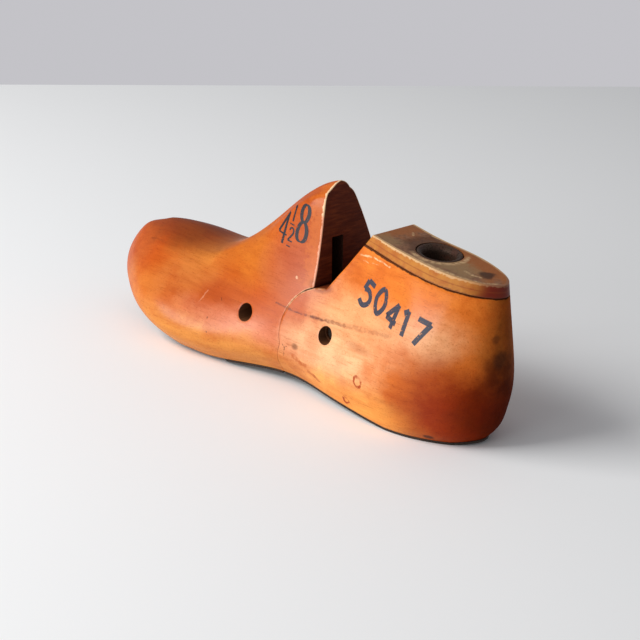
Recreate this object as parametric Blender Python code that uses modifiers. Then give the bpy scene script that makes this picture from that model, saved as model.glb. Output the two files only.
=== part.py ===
# Hinged wooden shoe last, right foot: two maple blocks on a spring link, steel plates under both,
# a top piece and a steel thimble for the lasting jack. Metres, +Z up, toe towards -X, inner side -Y.
# Places are given as along (from the heel's back), across (from the centre line, inner side
# negative) and up (from the floor).
import math

import bmesh
import bpy
import numpy as np
from mathutils import Matrix, Vector

# Gaps
GAP = 0.0003                 # between faces that touch on the real last
MARGIN = 0.020               # by which a cut runs past the wood
WELD = 1e-6                  # points closer than this are one point
SHARP = math.radians(35)     # edges sharper than this are not shaded smooth

# Last as turned, before it is sawn
LENGTH = 0.220
TOE_ACROSS = -0.0080         # the toe's tip lies on the inner side
HEEL_STATIONS = (0.0195, 0.0445, 0.0745, 0.0995)      # heel, seat, arch, waist, from the heel's back
TOE_STATIONS = (0.0905, 0.065, 0.040, 0.020, 0.006)   # instep, ball, vamp, toe, tip, from the toe's tip
SOLE_HEEL_UP = 0.0041
SOLE_UP = (0.0008, 0.0016, 0.0039, 0.0049, 0.0026, 0.0011, 0.0051, 0.0105, 0.0148)
SOLE_TOE_UP = 0.0170
RIDGE_HEEL_UP = 0.0988
RIDGE_UP = (0.0920, 0.0825, 0.0904, 0.0862, 0.0617, 0.0464, 0.0474, 0.0462, 0.0440)
RIDGE_TOE_UP = 0.0430
RIDGE_ACROSS = (-0.0001, -0.0008, -0.0025, -0.0042, -0.0038, -0.0042, -0.0054, -0.0066, -0.0076)
RIDGE_HEEL_IN = 0.0116
RIDGE_TOE_IN = 0.0244
# Level outlines from the sole's edge up: share of the height, distance in from the heel's back and
# from the toe's tip, half widths at the stations on the inner and on the outer side
LEVELS = (
    (0.00, 0.0076, 0.0067,
     (0.0185, 0.0230, 0.0218, 0.0206, 0.0270, 0.0303, 0.0298, 0.0238, 0.0177),
     (0.0186, 0.0237, 0.0252, 0.0251, 0.0311, 0.0331, 0.0255, 0.0140, 0.0055)),
    (0.05, 0.0035, 0.0047,
     (0.0199, 0.0245, 0.0240, 0.0237, 0.0295, 0.0331, 0.0321, 0.0249, 0.0180),
     (0.0212, 0.0249, 0.0266, 0.0266, 0.0327, 0.0342, 0.0267, 0.0152, 0.0064)),
    (0.13, 0.0012, 0.0019,
     (0.0206, 0.0268, 0.0268, 0.0273, 0.0327, 0.0370, 0.0355, 0.0268, 0.0183),
     (0.0225, 0.0267, 0.0282, 0.0283, 0.0350, 0.0358, 0.0284, 0.0172, 0.0078)),
    (0.28, 0.0000, 0.0000,
     (0.0230, 0.0283, 0.0254, 0.0260, 0.0318, 0.0388, 0.0380, 0.0284, 0.0182),
     (0.0231, 0.0280, 0.0270, 0.0268, 0.0340, 0.0361, 0.0297, 0.0190, 0.0090)),
    (0.57, 0.0024, 0.0021,
     (0.0203, 0.0218, 0.0168, 0.0194, 0.0240, 0.0325, 0.0337, 0.0254, 0.0169),
     (0.0167, 0.0241, 0.0198, 0.0178, 0.0225, 0.0294, 0.0249, 0.0155, 0.0070)),
    (0.865, 0.0062, 0.0089,
     (0.0106, 0.0144, 0.0105, 0.0152, 0.0148, 0.0206, 0.0222, 0.0183, 0.0136),
     (0.0085, 0.0118, 0.0106, 0.0063, 0.0125, 0.0168, 0.0131, 0.0076, 0.0022)),
    (0.955, 0.0093, 0.0175,
     (0.0075, 0.0093, 0.0071, 0.0118, 0.0090, 0.0140, 0.0157, 0.0139, 0.0113),
     (0.0060, 0.0081, 0.0022, 0.0022, 0.0062, 0.0086, 0.0066, 0.0025, -0.0014)),
)
COLUMNS = 52                 # columns of faces from heel to toe
LAPS = 3                     # rows of faces between two levels

# Joint between the blocks: a round lobe on the heel block in a seat in the forepart
LOBE_ALONG = 0.0814
LOBE_UP = 0.0286
LOBE_RADIUS = 0.0193
LEG_UP = 0.0205              # below this height the joint runs straight
LEG_LEAN = math.radians(12.0)
ARC_STEP = math.radians(6.0)

# Sawn faces of the V
FACE_ALONG = 0.0884
FACE_LEAN = math.radians(3.4)
SLOPE_ALONG = 0.0822
SLOPE_LEAN = math.radians(33.4)

# Top piece and thimble
TOP_UP = 0.0684              # height of the top piece at the heel's back
TOP_PITCH = math.radians(5.77)
TOP_THICK = 0.0049
THIMBLE_ALONG = 0.0383
THIMBLE_RADIUS = 0.0095
THIMBLE_BORE = 0.0066
THIMBLE_FLARE = 0.0012       # by which the mouth is wider than the bore
FLARE_ROUND = 0.0004         # bulge of the flare half way down
FLARE_DEPTH = 0.0024
THIMBLE_LENGTH = 0.040
JACK_HOLE_LENGTH = 0.047     # the bore goes on in the wood below the thimble
TOP_NAIL_ALONG = 0.0135
TOP_NAIL_HEAD = 0.0016
TOP_NAIL_LENGTH = 0.022

# Hinge
REAR_PIN_ALONG = 0.0754
REAR_PIN_UP = 0.0308
PIN_SPACING = 0.0456
PIN_LINE_DIP = math.radians(3.9)     # the line from the rear pin to the front pin dips by this
PIN_RADIUS = 0.0030
PIN_LENGTH = 0.032
PIN_ACROSS = -0.004
PIN_ROUND = 0.0005           # rounding of the pins' ends
SLOT_ACROSS = -0.0055
SLOT_WIDTH = 0.0065
SLOT_SAW_RADIUS = 0.044
SLOT_FLOOR_UP = 0.0195
SLOT_TOP_UP = 0.0663
LINK_THICK = 0.0032
LINK_WALL = 0.0030           # steel round the pins
LINK_END = 0.0035            # steel in front of the spring
LINK_ROOM = 0.0012           # room round the link in the blocks
LINK_TRAVEL = 0.0020         # the link draws back this far against its spring
SWING = math.radians(26.5)   # the heel block's slot lets it turn this far
SPRING_LENGTH = 0.0075
SPRING_WIRE = 0.0010
SPRING_TURNS = 4
SPRING_POINTS = 9            # points in a turn
SEAT_THICK = 0.0028          # spring seat, from the pin's face forward

# Steel plates and their nails
PLATE_THICK = 0.0010
PLATE_INSET = 0.0006
TOE_INSET = 0.0035           # the sole plate lies this far in round the toe
TOE_PART = (0.088, 0.084)    # the inset grows between these two places behind the toe's tip
PLATE_STRIPS = 6             # strips of faces across a plate
PLATE_SEAM = 0.0012          # the heel plate ends this far behind the joint
SLOPE_STEP = 0.001           # length over which the sole's slope is read
NAIL_HEAD = 0.0021
NAIL_SHANK = 0.0009
NAIL_HEAD_DEPTH = 0.0008
NAIL_LENGTH = 0.0110
NAIL_POINT = 0.0020
NAIL_SINK = 0.0001
# Places of the nails: in front of the joint, behind the toe's tip and in front of the heel's back,
# each with its place across
WAIST_NAILS = ((0.0082, -0.014), (0.0082, 0.018))
TOE_NAILS = ((0.070, -0.021), (0.070, 0.022), (0.032, -0.018), (0.032, 0.008))
HEEL_NAILS = ((0.013, 0.0), (0.034, -0.014), (0.034, 0.014), (0.070, -0.012), (0.070, 0.014))

ROUND_STEPS = 32
SMALL_STEPS = 12

# Colours of the pieces, linear, with roughness and metallic
FINISHES = {
    "fore_wood": ((0.46, 0.14, 0.035), 0.28, 0.0),
    "heel_wood": ((0.50, 0.16, 0.040), 0.28, 0.0),
    "top_leather": ((0.33, 0.22, 0.12), 0.60, 0.0),
    "rusty_steel": ((0.075, 0.055, 0.045), 0.45, 1.0),
    "link_steel": ((0.30, 0.29, 0.28), 0.40, 1.0),
    "plate_steel": ((0.22, 0.20, 0.18), 0.45, 1.0),
}


def spline(knots, values, places, closed=False):
    """Cubic spline through values at knots, straight at its ends or closed, read at places."""
    knots = np.asarray(knots, float)
    values = np.asarray(values, float)
    flat = values.reshape(len(knots), -1)
    step = np.diff(knots)
    slope = np.diff(flat, axis=0) / step[:, None]
    system = np.eye(len(knots))
    load = np.zeros_like(flat)
    for i in range(1, len(knots) - 1):
        system[i, i - 1:i + 2] = step[i - 1], 2 * (step[i - 1] + step[i]), step[i]
        load[i] = 6 * (slope[i] - slope[i - 1])
    if closed:
        system[0, -1] = -1
        system[-1, -1] = 2 * step[-1]
        system[-1, -2] = step[-1]
        system[-1, 0] = 2 * step[0]
        system[-1, 1] = step[0]
        load[-1] = 6 * (slope[0] - slope[-1])
    bend = np.linalg.solve(system, load)
    places = np.atleast_1d(places)
    i = np.clip(np.searchsorted(knots, places, side="right") - 1, 0, len(step) - 1)
    width = step[i][:, None]
    after = (places - knots[i])[:, None] / width
    before = 1 - after
    curve = before * flat[i] + after * flat[i + 1]
    curve += ((before ** 3 - before) * bend[i] + (after ** 3 - after) * bend[i + 1]) * width ** 2 / 6
    return curve.reshape(len(places), *values.shape[1:])


STATIONS = np.array([*HEEL_STATIONS, *(LENGTH - d for d in TOE_STATIONS)])
FLOOR_UP = PLATE_THICK + GAP         # lowest wood, above the plates that it stands on


def sole_up(along):
    """Height of the sole's edge, ground level at the heel seat and at the ball."""
    heights = (SOLE_HEEL_UP, *SOLE_UP, SOLE_TOE_UP)
    return np.maximum(spline((0, *STATIONS, LENGTH), heights, along), FLOOR_UP)


def ridge_up(along):
    """Height of the ridge line along the top."""
    return spline((0, *STATIONS, LENGTH), (RIDGE_HEEL_UP, *RIDGE_UP, RIDGE_TOE_UP), along)


def level_points(level):
    """Inner and outer half of a level outline, heel to toe, as rows of along, across, up."""
    share, heel_in, toe_in, inner, outer = level
    toe = LENGTH - toe_in
    stations = heel_in + STATIONS * (toe - heel_in) / LENGTH
    along = np.concatenate(([heel_in], stations, [toe], stations[::-1], [heel_in]))
    across = np.concatenate(([0], -np.array(inner), [TOE_ACROSS], outer[::-1], [0]))
    knots = np.concatenate(([0], np.cumsum(np.sqrt(np.hypot(np.diff(along), np.diff(across))))))
    tip = knots[len(STATIONS) + 1]
    halves = []
    for start in (0.0, knots[-1]):
        plan = spline(knots, np.column_stack((along, across)), np.linspace(start, tip, COLUMNS + 1), True)
        low = sole_up(plan[:, 0])
        up = low + share * (ridge_up(plan[:, 0]) - low)
        halves.append(np.column_stack((plan, up)))
    return halves


def ridge_points():
    """The ridge line, heel to toe."""
    turn = (1 - np.cos(np.linspace(0, math.pi, COLUMNS + 1))) / 2
    along = RIDGE_HEEL_IN + (LENGTH - RIDGE_TOE_IN - RIDGE_HEEL_IN) * turn
    across = spline((0, *STATIONS, LENGTH), (0, *RIDGE_ACROSS, TOE_ACROSS), along)
    return np.column_stack((along, across, ridge_up(along)))


def last_surface():
    """Grid of points over the last: rows from the inner sole edge over the ridge to the outer one."""
    halves = [level_points(level) for level in LEVELS]
    guides = [inner for inner, outer in halves] + [ridge_points()] + [outer for inner, outer in halves[::-1]]
    rows = np.linspace(0, len(guides) - 1, (len(guides) - 1) * LAPS + 1)
    return spline(np.arange(len(guides)), np.array(guides), rows)


SURFACE = last_surface()
CENTRE_ALONG = (SURFACE[..., 0].min() + SURFACE[..., 0].max()) / 2
CENTRE_ACROSS = (SURFACE[..., 1].min() + SURFACE[..., 1].max()) / 2


def place(along, across, up):
    """A place on the last in the model's frame, whose origin is under the middle of its box."""
    return Vector((CENTRE_ALONG - along, across - CENTRE_ACROSS, up))


def top_up(along):
    """Height of the top piece's upper face."""
    return TOP_UP + along * math.tan(TOP_PITCH)


def lobe_point(turn, radius):
    """Point of the lobe's outline, turned up from straight ahead."""
    return (LOBE_ALONG + radius * math.cos(turn), LOBE_UP + radius * math.sin(turn))


def joint_line(first_along, clearance):
    """The joint's outline from the V's floor at first_along to below the floor."""
    radius = LOBE_RADIUS - clearance
    first = math.acos((first_along - LOBE_ALONG) / radius)
    last = math.asin((LEG_UP - LOBE_UP) / radius)
    steps = math.ceil((first - last) / ARC_STEP)
    points = [lobe_point(first + (last - first) * i / steps, radius) for i in range(steps + 1)]
    along, up = points[-1]
    points.append((along + (up + MARGIN) * math.tan(LEG_LEAN), -MARGIN))
    return points


# Collections, materials and meshes

def clear_scene():
    for item in list(bpy.data.objects):
        bpy.data.objects.remove(item, do_unlink=True)


clear_scene()
PARTS = bpy.data.collections.new("cobbler_last")
CUTTERS = bpy.data.collections.new("cutters")
bpy.context.scene.collection.children.link(PARTS)
bpy.context.scene.collection.children.link(CUTTERS)


def material(name, finish):
    """A Principled material of the finish, for the piece of this name."""
    colour, roughness, metallic = FINISHES[finish]
    made = bpy.data.materials.new(name)
    made.use_nodes = True
    shader = made.node_tree.nodes["Principled BSDF"]
    shader.inputs["Base Color"].default_value = (*colour, 1.0)
    shader.inputs["Roughness"].default_value = roughness
    shader.inputs["Metallic"].default_value = metallic
    made.diffuse_color = (*colour, 1.0)
    return made


def add_object(name, mesh, finish):
    """Link a mesh to the parts with its own material."""
    made = bpy.data.objects.new(name, mesh)
    PARTS.objects.link(made)
    mesh.materials.append(material(name, finish))
    return made


def smooth(mesh):
    mesh.shade_smooth()
    mesh.set_sharp_from_angle(angle=SHARP)


def as_mesh(name, shape):
    """Turn a bmesh into a mesh with its faces pointing out."""
    bmesh.ops.recalc_face_normals(shape, faces=shape.faces)
    mesh = bpy.data.meshes.new(name)
    shape.to_mesh(mesh)
    shape.free()
    return mesh


def add_cutter(name, mesh):
    made = bpy.data.objects.new(name, mesh)
    CUTTERS.objects.link(made)
    made.hide_render = True
    made.display_type = "WIRE"
    return made


def cut(item, cutter, operation="DIFFERENCE"):
    modifier = item.modifiers.new(cutter.name, "BOOLEAN")
    modifier.operation = operation
    modifier.object = cutter


def loft_mesh(name):
    """The whole last as one closed surface: sides and top from the grid, the sole ruled across."""
    shape = bmesh.new()
    rows = [[shape.verts.new(place(*point)) for point in row] for row in SURFACE]
    for low, high in zip(rows, rows[1:] + rows[:1]):
        for i in range(COLUMNS):
            shape.faces.new((low[i], low[i + 1], high[i + 1], high[i]))
    bmesh.ops.remove_doubles(shape, verts=shape.verts, dist=WELD)
    mesh = as_mesh(name, shape)
    smooth(mesh)
    return mesh


def prism_mesh(name, outline, across_low, across_high):
    """A block with an outline of along, up points, from one place across to another."""
    shape = bmesh.new()
    face = shape.faces.new([shape.verts.new(place(along, across_low, up)) for along, up in outline])
    moved = bmesh.ops.extrude_face_region(shape, geom=[face])["geom"]
    verts = [item for item in moved if isinstance(item, bmesh.types.BMVert)]
    bmesh.ops.translate(shape, verts=verts, vec=(0, across_high - across_low, 0))
    return as_mesh(name, shape)


def block_cutter(name, outline):
    """A cutter right through the last from side to side."""
    return add_cutter(name, prism_mesh(name, outline, -LENGTH, LENGTH))


def slot_cutter(name, outline):
    half = SLOT_WIDTH / 2
    return add_cutter(name, prism_mesh(name, outline, SLOT_ACROSS - half, SLOT_ACROSS + half))


def add_rods(shape, rods, steps):
    """Add cylinders, each between two points with a radius."""
    for start, end, radius in rods:
        turn = (end - start).to_track_quat("Z", "Y").to_matrix().to_4x4()
        matrix = Matrix.Translation((start + end) / 2) @ turn
        bmesh.ops.create_cone(shape, cap_ends=True, segments=steps, radius1=radius, radius2=radius,
                              depth=(end - start).length, matrix=matrix)


def rods_cutter(name, rods, steps):
    shape = bmesh.new()
    add_rods(shape, rods, steps)
    return add_cutter(name, as_mesh(name, shape))


def turned(name, profile, steps, finish):
    """A turned piece on its own Z axis, from a profile of radius, height points down its outside."""
    mesh = bpy.data.meshes.new(name)
    closed = profile[0][0] > 0
    edges = [(i, i + 1) for i in range(len(profile) - 1)]
    if closed:
        edges.append((len(profile) - 1, 0))
    mesh.from_pydata([(radius, 0, height) for radius, height in profile], edges, [])
    made = add_object(name, mesh, finish)
    screw = made.modifiers.new("turn", "SCREW")
    screw.axis = "Z"
    screw.steps = steps
    screw.render_steps = steps
    screw.use_merge_vertices = True
    screw.merge_threshold = WELD
    screw.use_smooth_shade = False
    return made


# Axes of the hinge

TOP_NORMAL = Matrix.Rotation(TOP_PITCH, 3, "Y") @ Vector((0, 0, 1))
PIN_LINE = Vector((-math.cos(PIN_LINE_DIP), 0, -math.sin(PIN_LINE_DIP)))
FRONT_PIN_ALONG = REAR_PIN_ALONG + PIN_SPACING * math.cos(PIN_LINE_DIP)
FRONT_PIN_UP = REAR_PIN_UP - PIN_SPACING * math.sin(PIN_LINE_DIP)
PIN_HOLE = PIN_RADIUS + GAP


def link_place(forward, raised, across=SLOT_ACROSS):
    """A place on the link, measured from the rear pin along the pins' line and square to it."""
    along = REAR_PIN_ALONG + forward * math.cos(PIN_LINE_DIP) + raised * math.sin(PIN_LINE_DIP)
    up = REAR_PIN_UP - forward * math.sin(PIN_LINE_DIP) + raised * math.cos(PIN_LINE_DIP)
    return place(along, across, up)


def link_outline(points):
    """Link places as along, up pairs."""
    return [(CENTRE_ALONG - p.x, p.z) for p in (link_place(forward, raised) for forward, raised in points)]


def add_empty(name, location):
    made = bpy.data.objects.new(name, None)
    PARTS.objects.link(made)
    made.location = location
    return made


def carry(parent, item):
    """Parent an item and leave it where it is."""
    item.parent = parent
    item.matrix_parent_inverse = Matrix.Translation(-parent.location)


HEEL_AXIS = add_empty("heel_axis", place(REAR_PIN_ALONG, SLOT_ACROSS, REAR_PIN_UP))
LINK_AXIS = add_empty("link_axis", place(FRONT_PIN_ALONG, SLOT_ACROSS, FRONT_PIN_UP))
carry(LINK_AXIS, HEEL_AXIS)


# Wood blocks

def top_line(drop):
    """Two ends of a line level with the top piece's face, dropped by drop, past the heel and the V."""
    return [(along, top_up(along) - drop) for along in (-MARGIN, LENGTH)]


def slope_at(up):
    """Where the heel block's sawn slope is at a height."""
    foot_up = LOBE_UP + math.sqrt((LOBE_RADIUS - GAP) ** 2 - (SLOPE_ALONG - LOBE_ALONG) ** 2)
    return SLOPE_ALONG - (up - foot_up) * math.tan(SLOPE_LEAN)


def make_blocks():
    """The forepart and the heel block, sawn from one turned last."""
    sky = max(RIDGE_UP) + MARGIN
    forepart = add_object("forepart", loft_mesh("forepart"), "fore_wood")
    foot_up = joint_line(FACE_ALONG, 0.0)[0][1]
    face_top = FACE_ALONG + (sky - foot_up) * math.tan(FACE_LEAN)
    rear_waste = [(face_top, sky), *joint_line(FACE_ALONG, 0.0), (-MARGIN, -MARGIN), (-MARGIN, sky)]
    cut(forepart, block_cutter("rear_waste", rear_waste))

    heel_part = add_object("heel_part", loft_mesh("heel_part"), "heel_wood")
    far = LENGTH + MARGIN
    front_waste = [(slope_at(sky), sky), *joint_line(SLOPE_ALONG, GAP), (far, -MARGIN), (far, sky)]
    cut(heel_part, block_cutter("front_waste", front_waste))
    top_waste = [*top_line(TOP_THICK + GAP), (LENGTH, sky + LENGTH), (-MARGIN, sky + LENGTH)]
    cut(heel_part, block_cutter("top_waste", top_waste))
    carry(HEEL_AXIS, heel_part)
    return forepart, heel_part


def make_top_plate():
    """The top piece, flush with the heel block's side and sawn with its slope."""
    plate = add_object("top_plate", loft_mesh("top_plate"), "top_leather")
    back = -MARGIN
    rise = math.tan(TOP_PITCH)
    fall = math.tan(SLOPE_LEAN)
    foot = slope_at(0.0)

    def slope_corner(drop):
        along = (foot - (TOP_UP - drop) * fall) / (1 + rise * fall)
        return (along, top_up(along) - drop)

    outline = [(back, top_up(back)), (back, top_up(back) - TOP_THICK), slope_corner(TOP_THICK),
               slope_corner(0.0)]
    cut(plate, block_cutter("top_plate_keep", outline), "INTERSECT")
    carry(HEEL_AXIS, plate)
    return plate


# Thimble and top nail

def make_thimble(heel_part, top_plate):
    """Steel thimble for the jack's pin, through the top piece into the heel block."""
    bore = THIMBLE_BORE
    profile = [(THIMBLE_RADIUS, 0), (THIMBLE_RADIUS, -THIMBLE_LENGTH), (bore, -THIMBLE_LENGTH),
               (bore, -FLARE_DEPTH), (bore + FLARE_ROUND, -FLARE_DEPTH / 2), (bore + THIMBLE_FLARE, 0)]
    thimble = turned("thimble", profile, ROUND_STEPS, "rusty_steel")
    mouth = place(THIMBLE_ALONG, 0, top_up(THIMBLE_ALONG))
    thimble.location = mouth
    thimble.rotation_euler = (0, TOP_PITCH, 0)
    carry(HEEL_AXIS, thimble)
    above = mouth + TOP_NORMAL * MARGIN
    wide = (above, mouth - TOP_NORMAL * (THIMBLE_LENGTH + GAP), THIMBLE_RADIUS + GAP)
    cut(top_plate, rods_cutter("thimble_hole_in_plate", [wide], ROUND_STEPS))
    cut(heel_part, rods_cutter("thimble_hole", [wide], ROUND_STEPS))
    narrow = (above, mouth - TOP_NORMAL * JACK_HOLE_LENGTH, THIMBLE_BORE)
    cut(heel_part, rods_cutter("jack_hole", [narrow], ROUND_STEPS))


def nail_profile(head, length):
    """A cut nail's outline with its head at the top."""
    return [(0, 0), (head, 0), (NAIL_SHANK, -NAIL_HEAD_DEPTH), (NAIL_SHANK, NAIL_POINT - length),
            (0, -length)]


def nail_holes(spots, head, length):
    """Rods that clear the shanks and the heads of nails at spots, each a head's place and direction."""
    shanks = []
    heads = []
    for spot, out in spots:
        above = spot + out * NAIL_LENGTH
        shanks.append((above, spot - out * (length + GAP), NAIL_SHANK + GAP))
        heads.append((above, spot - out * (NAIL_HEAD_DEPTH + GAP), head + GAP))
    return shanks, heads


def make_nail(name, spot, out, head, length, finish):
    nail = turned(name, nail_profile(head, length), SMALL_STEPS, finish)
    nail.location = spot
    nail.rotation_euler = out.to_track_quat("Z", "Y").to_euler()
    return nail


def make_top_nail(heel_part, top_plate):
    """The nail behind the thimble that holds the top piece."""
    spot = place(TOP_NAIL_ALONG, 0, top_up(TOP_NAIL_ALONG)) - TOP_NORMAL * NAIL_SINK
    nail = make_nail("top_nail", spot, TOP_NORMAL, TOP_NAIL_HEAD, TOP_NAIL_LENGTH, "rusty_steel")
    carry(HEEL_AXIS, nail)
    shanks, heads = nail_holes([(spot, TOP_NORMAL)], TOP_NAIL_HEAD, TOP_NAIL_LENGTH)
    cut(top_plate, rods_cutter("top_nail_head_hole", heads, SMALL_STEPS))
    cut(top_plate, rods_cutter("top_nail_hole_in_plate", shanks, SMALL_STEPS))
    cut(heel_part, rods_cutter("top_nail_hole", shanks, SMALL_STEPS))


# Hinge

def make_pin(name, along, up):
    half = Vector((0, PIN_LENGTH / 2, 0))
    shape = bmesh.new()
    add_rods(shape, [(-half, half, PIN_RADIUS)], ROUND_STEPS)
    pin = add_object(name, as_mesh(name, shape), "link_steel")
    pin.location = place(along, PIN_ACROSS, up)
    bevel = pin.modifiers.new("rounded_ends", "BEVEL")
    bevel.width = PIN_ROUND
    bevel.segments = 2
    bevel.limit_method = "ANGLE"
    bevel.angle_limit = SHARP
    return pin


def pin_hole(name, along, up):
    ends = (place(along, -LENGTH / 2, up), place(along, LENGTH / 2, up))
    return rods_cutter(name, [(*ends, PIN_HOLE)], ROUND_STEPS)


def arc(centre, radius, start, end, steps):
    """Points of an arc of forward, raised pairs."""
    turns = [start + (end - start) * i / steps for i in range(steps + 1)]
    return [(centre[0] + radius * math.cos(turn), centre[1] + radius * math.sin(turn)) for turn in turns]


LINK_HALF = PIN_HOLE + LINK_WALL
SPRING_START = PIN_SPACING + PIN_RADIUS + GAP + SEAT_THICK + GAP
WINDOW_END = SPRING_START + SPRING_LENGTH + GAP
LINK_REACH = WINDOW_END + LINK_END


def make_hinge(forepart, heel_part):
    """Link, pins, spring and spring seat, with their slots and holes in the blocks."""
    for name, along, up, block in (("rear_pin", REAR_PIN_ALONG, REAR_PIN_UP, heel_part),
                                   ("front_pin", FRONT_PIN_ALONG, FRONT_PIN_UP, forepart)):
        pin = make_pin(name, along, up)
        cut(block, pin_hole(name + "_hole", along, up))
        if block is heel_part:
            carry(HEEL_AXIS, pin)

    # Saw slot in the forepart: round in front and above, flat below, top as seen in the sawn face
    back = LOBE_ALONG
    saw_along = FRONT_PIN_ALONG + LINK_REACH - PIN_SPACING + LINK_TRAVEL - SLOT_SAW_RADIUS
    saw_up = SLOT_TOP_UP - SLOT_SAW_RADIUS
    first = math.asin((SLOT_FLOOR_UP - saw_up) / SLOT_SAW_RADIUS)
    saw_arc = arc((saw_along, saw_up), SLOT_SAW_RADIUS, first, math.pi / 2, SMALL_STEPS)
    outline = [(back, SLOT_FLOOR_UP), *saw_arc, (back, SLOT_TOP_UP)]
    cut(forepart, slot_cutter("forepart_slot", outline))

    # Slot in the heel block: round behind the pin, open in front by the angle that the block swings
    room = LINK_HALF + LINK_ROOM
    up_turn = math.pi / 2 + SWING
    outline = [*arc((0, 0), room, up_turn, math.pi * 1.5, SMALL_STEPS), (PIN_SPACING, -room),
               (PIN_SPACING, room / math.cos(SWING) + PIN_SPACING * math.tan(SWING))]
    cut(heel_part, slot_cutter("heel_slot", link_outline(outline)))

    half_turn = math.pi / 2
    shape = [*arc((0, 0), LINK_HALF, half_turn, half_turn * 3, SMALL_STEPS),
             *arc((LINK_REACH - LINK_HALF, 0), LINK_HALF, -half_turn, half_turn, SMALL_STEPS)]
    thick = (SLOT_ACROSS - LINK_THICK / 2, SLOT_ACROSS + LINK_THICK / 2)
    link = add_object("hinge_link", prism_mesh("hinge_link", link_outline(shape), *thick), "link_steel")
    cut(link, pin_hole("eye_hole", REAR_PIN_ALONG, REAR_PIN_UP))
    window_back = PIN_SPACING - PIN_HOLE
    window = [(window_back, -PIN_HOLE), (WINDOW_END, -PIN_HOLE), (WINDOW_END, PIN_HOLE),
              (window_back, PIN_HOLE)]
    cut(link, slot_cutter("link_window", link_outline(window)))
    carry(LINK_AXIS, link)

    width = SLOT_WIDTH / 2 - GAP
    seat_back = PIN_SPACING + PIN_HOLE - SEAT_THICK / 2
    seat_front = PIN_SPACING + PIN_HOLE + SEAT_THICK
    seat = [(seat_back, -PIN_RADIUS), (seat_front, -PIN_RADIUS), (seat_front, PIN_RADIUS),
            (seat_back, PIN_RADIUS)]
    seat_mesh = prism_mesh("spring_seat", link_outline(seat), SLOT_ACROSS - width, SLOT_ACROSS + width)
    spring_seat = add_object("spring_seat", seat_mesh, "link_steel")
    cut(spring_seat, pin_hole("saddle_hole", FRONT_PIN_ALONG, FRONT_PIN_UP))


def spring_points():
    """Places along the spring's wire, closed down to its two ends."""
    radius = SLOT_WIDTH / 2 - GAP - SPRING_WIRE / 2
    count = SPRING_TURNS * SPRING_POINTS
    rise = SPRING_LENGTH - SPRING_WIRE
    points = []
    for i in range(count + 1):
        turn = 2 * math.pi * i / SPRING_POINTS
        forward = SPRING_START + SPRING_WIRE / 2 + rise * i / count
        points.append(link_place(forward, radius * math.sin(turn), SLOT_ACROSS + radius * math.cos(turn)))
    return points


def make_spring():
    """Coil spring in the link's window."""
    points = spring_points()
    curve = bpy.data.curves.new("link_spring", "CURVE")
    curve.dimensions = "3D"
    curve.bevel_depth = SPRING_WIRE / 2
    curve.bevel_resolution = 1
    curve.use_fill_caps = True
    wire = curve.splines.new("POLY")
    wire.points.add(len(points) - 1)
    for target, point in zip(wire.points, points):
        target.co = (*point, 1.0)
    spring = bpy.data.objects.new("link_spring", curve)
    PARTS.objects.link(spring)
    curve.materials.append(material("link_spring", "link_steel"))
    carry(LINK_AXIS, spring)
    apart = SPRING_POINTS // 2
    pairs = ((i, j) for i in range(len(points)) for j in range(i + apart, len(points)))
    nearest = min((points[i] - points[j]).length for i, j in pairs)
    print("spring wire's least gap to itself, mm:", round((nearest - SPRING_WIRE) * 1000, 2))


# Steel plates

def plate_inset(along):
    """How far in from the sole's edge a plate's edge lies."""
    part = [LENGTH - behind for behind in TOE_PART]
    return float(np.interp(along, part, (PLATE_INSET, TOE_INSET)))


def sole_sheet(name, plane_along, toe_side):
    """The sole's surface between its inset edges, on one side of the joint."""
    inner = SURFACE[0]
    outer = SURFACE[-1]
    shape = bmesh.new()
    rows = []
    for strip in range(PLATE_STRIPS + 1):
        share = strip / PLATE_STRIPS
        row = []
        for a, b in zip(inner, outer):
            inset = plate_inset(a[0])
            near = inset / max(b[1] - a[1], inset * 2)
            point = a + (b - a) * (near + (1 - 2 * near) * share)
            row.append(shape.verts.new(place(*point) - Vector((0, 0, GAP))))
        rows.append(row)
    for low, high in zip(rows, rows[1:]):
        for i in range(COLUMNS):
            shape.faces.new((low[i], low[i + 1], high[i + 1], high[i]))
    bmesh.ops.remove_doubles(shape, verts=shape.verts, dist=WELD)
    # Every end drops what is behind it or, where beyond is true, what is in front of it
    ends = ((PLATE_INSET, False), (LENGTH - LEVELS[0][2] - TOE_INSET, True), (plane_along, not toe_side))
    for along, beyond in ends:
        normal = (-1, 0, 0) if beyond else (1, 0, 0)
        geom = shape.verts[:] + shape.edges[:] + shape.faces[:]
        bmesh.ops.bisect_plane(shape, geom=geom, dist=WELD, plane_co=place(along, 0, 0), plane_no=normal,
                               clear_outer=True)
    return as_mesh(name, shape)


def sole_slope(along):
    """Direction out of the sole at a place along."""
    rise = (sole_up(along + SLOPE_STEP) - sole_up(along - SLOPE_STEP))[0] / (2 * SLOPE_STEP)
    return Vector((-rise, 0, -1)).normalized()


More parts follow.
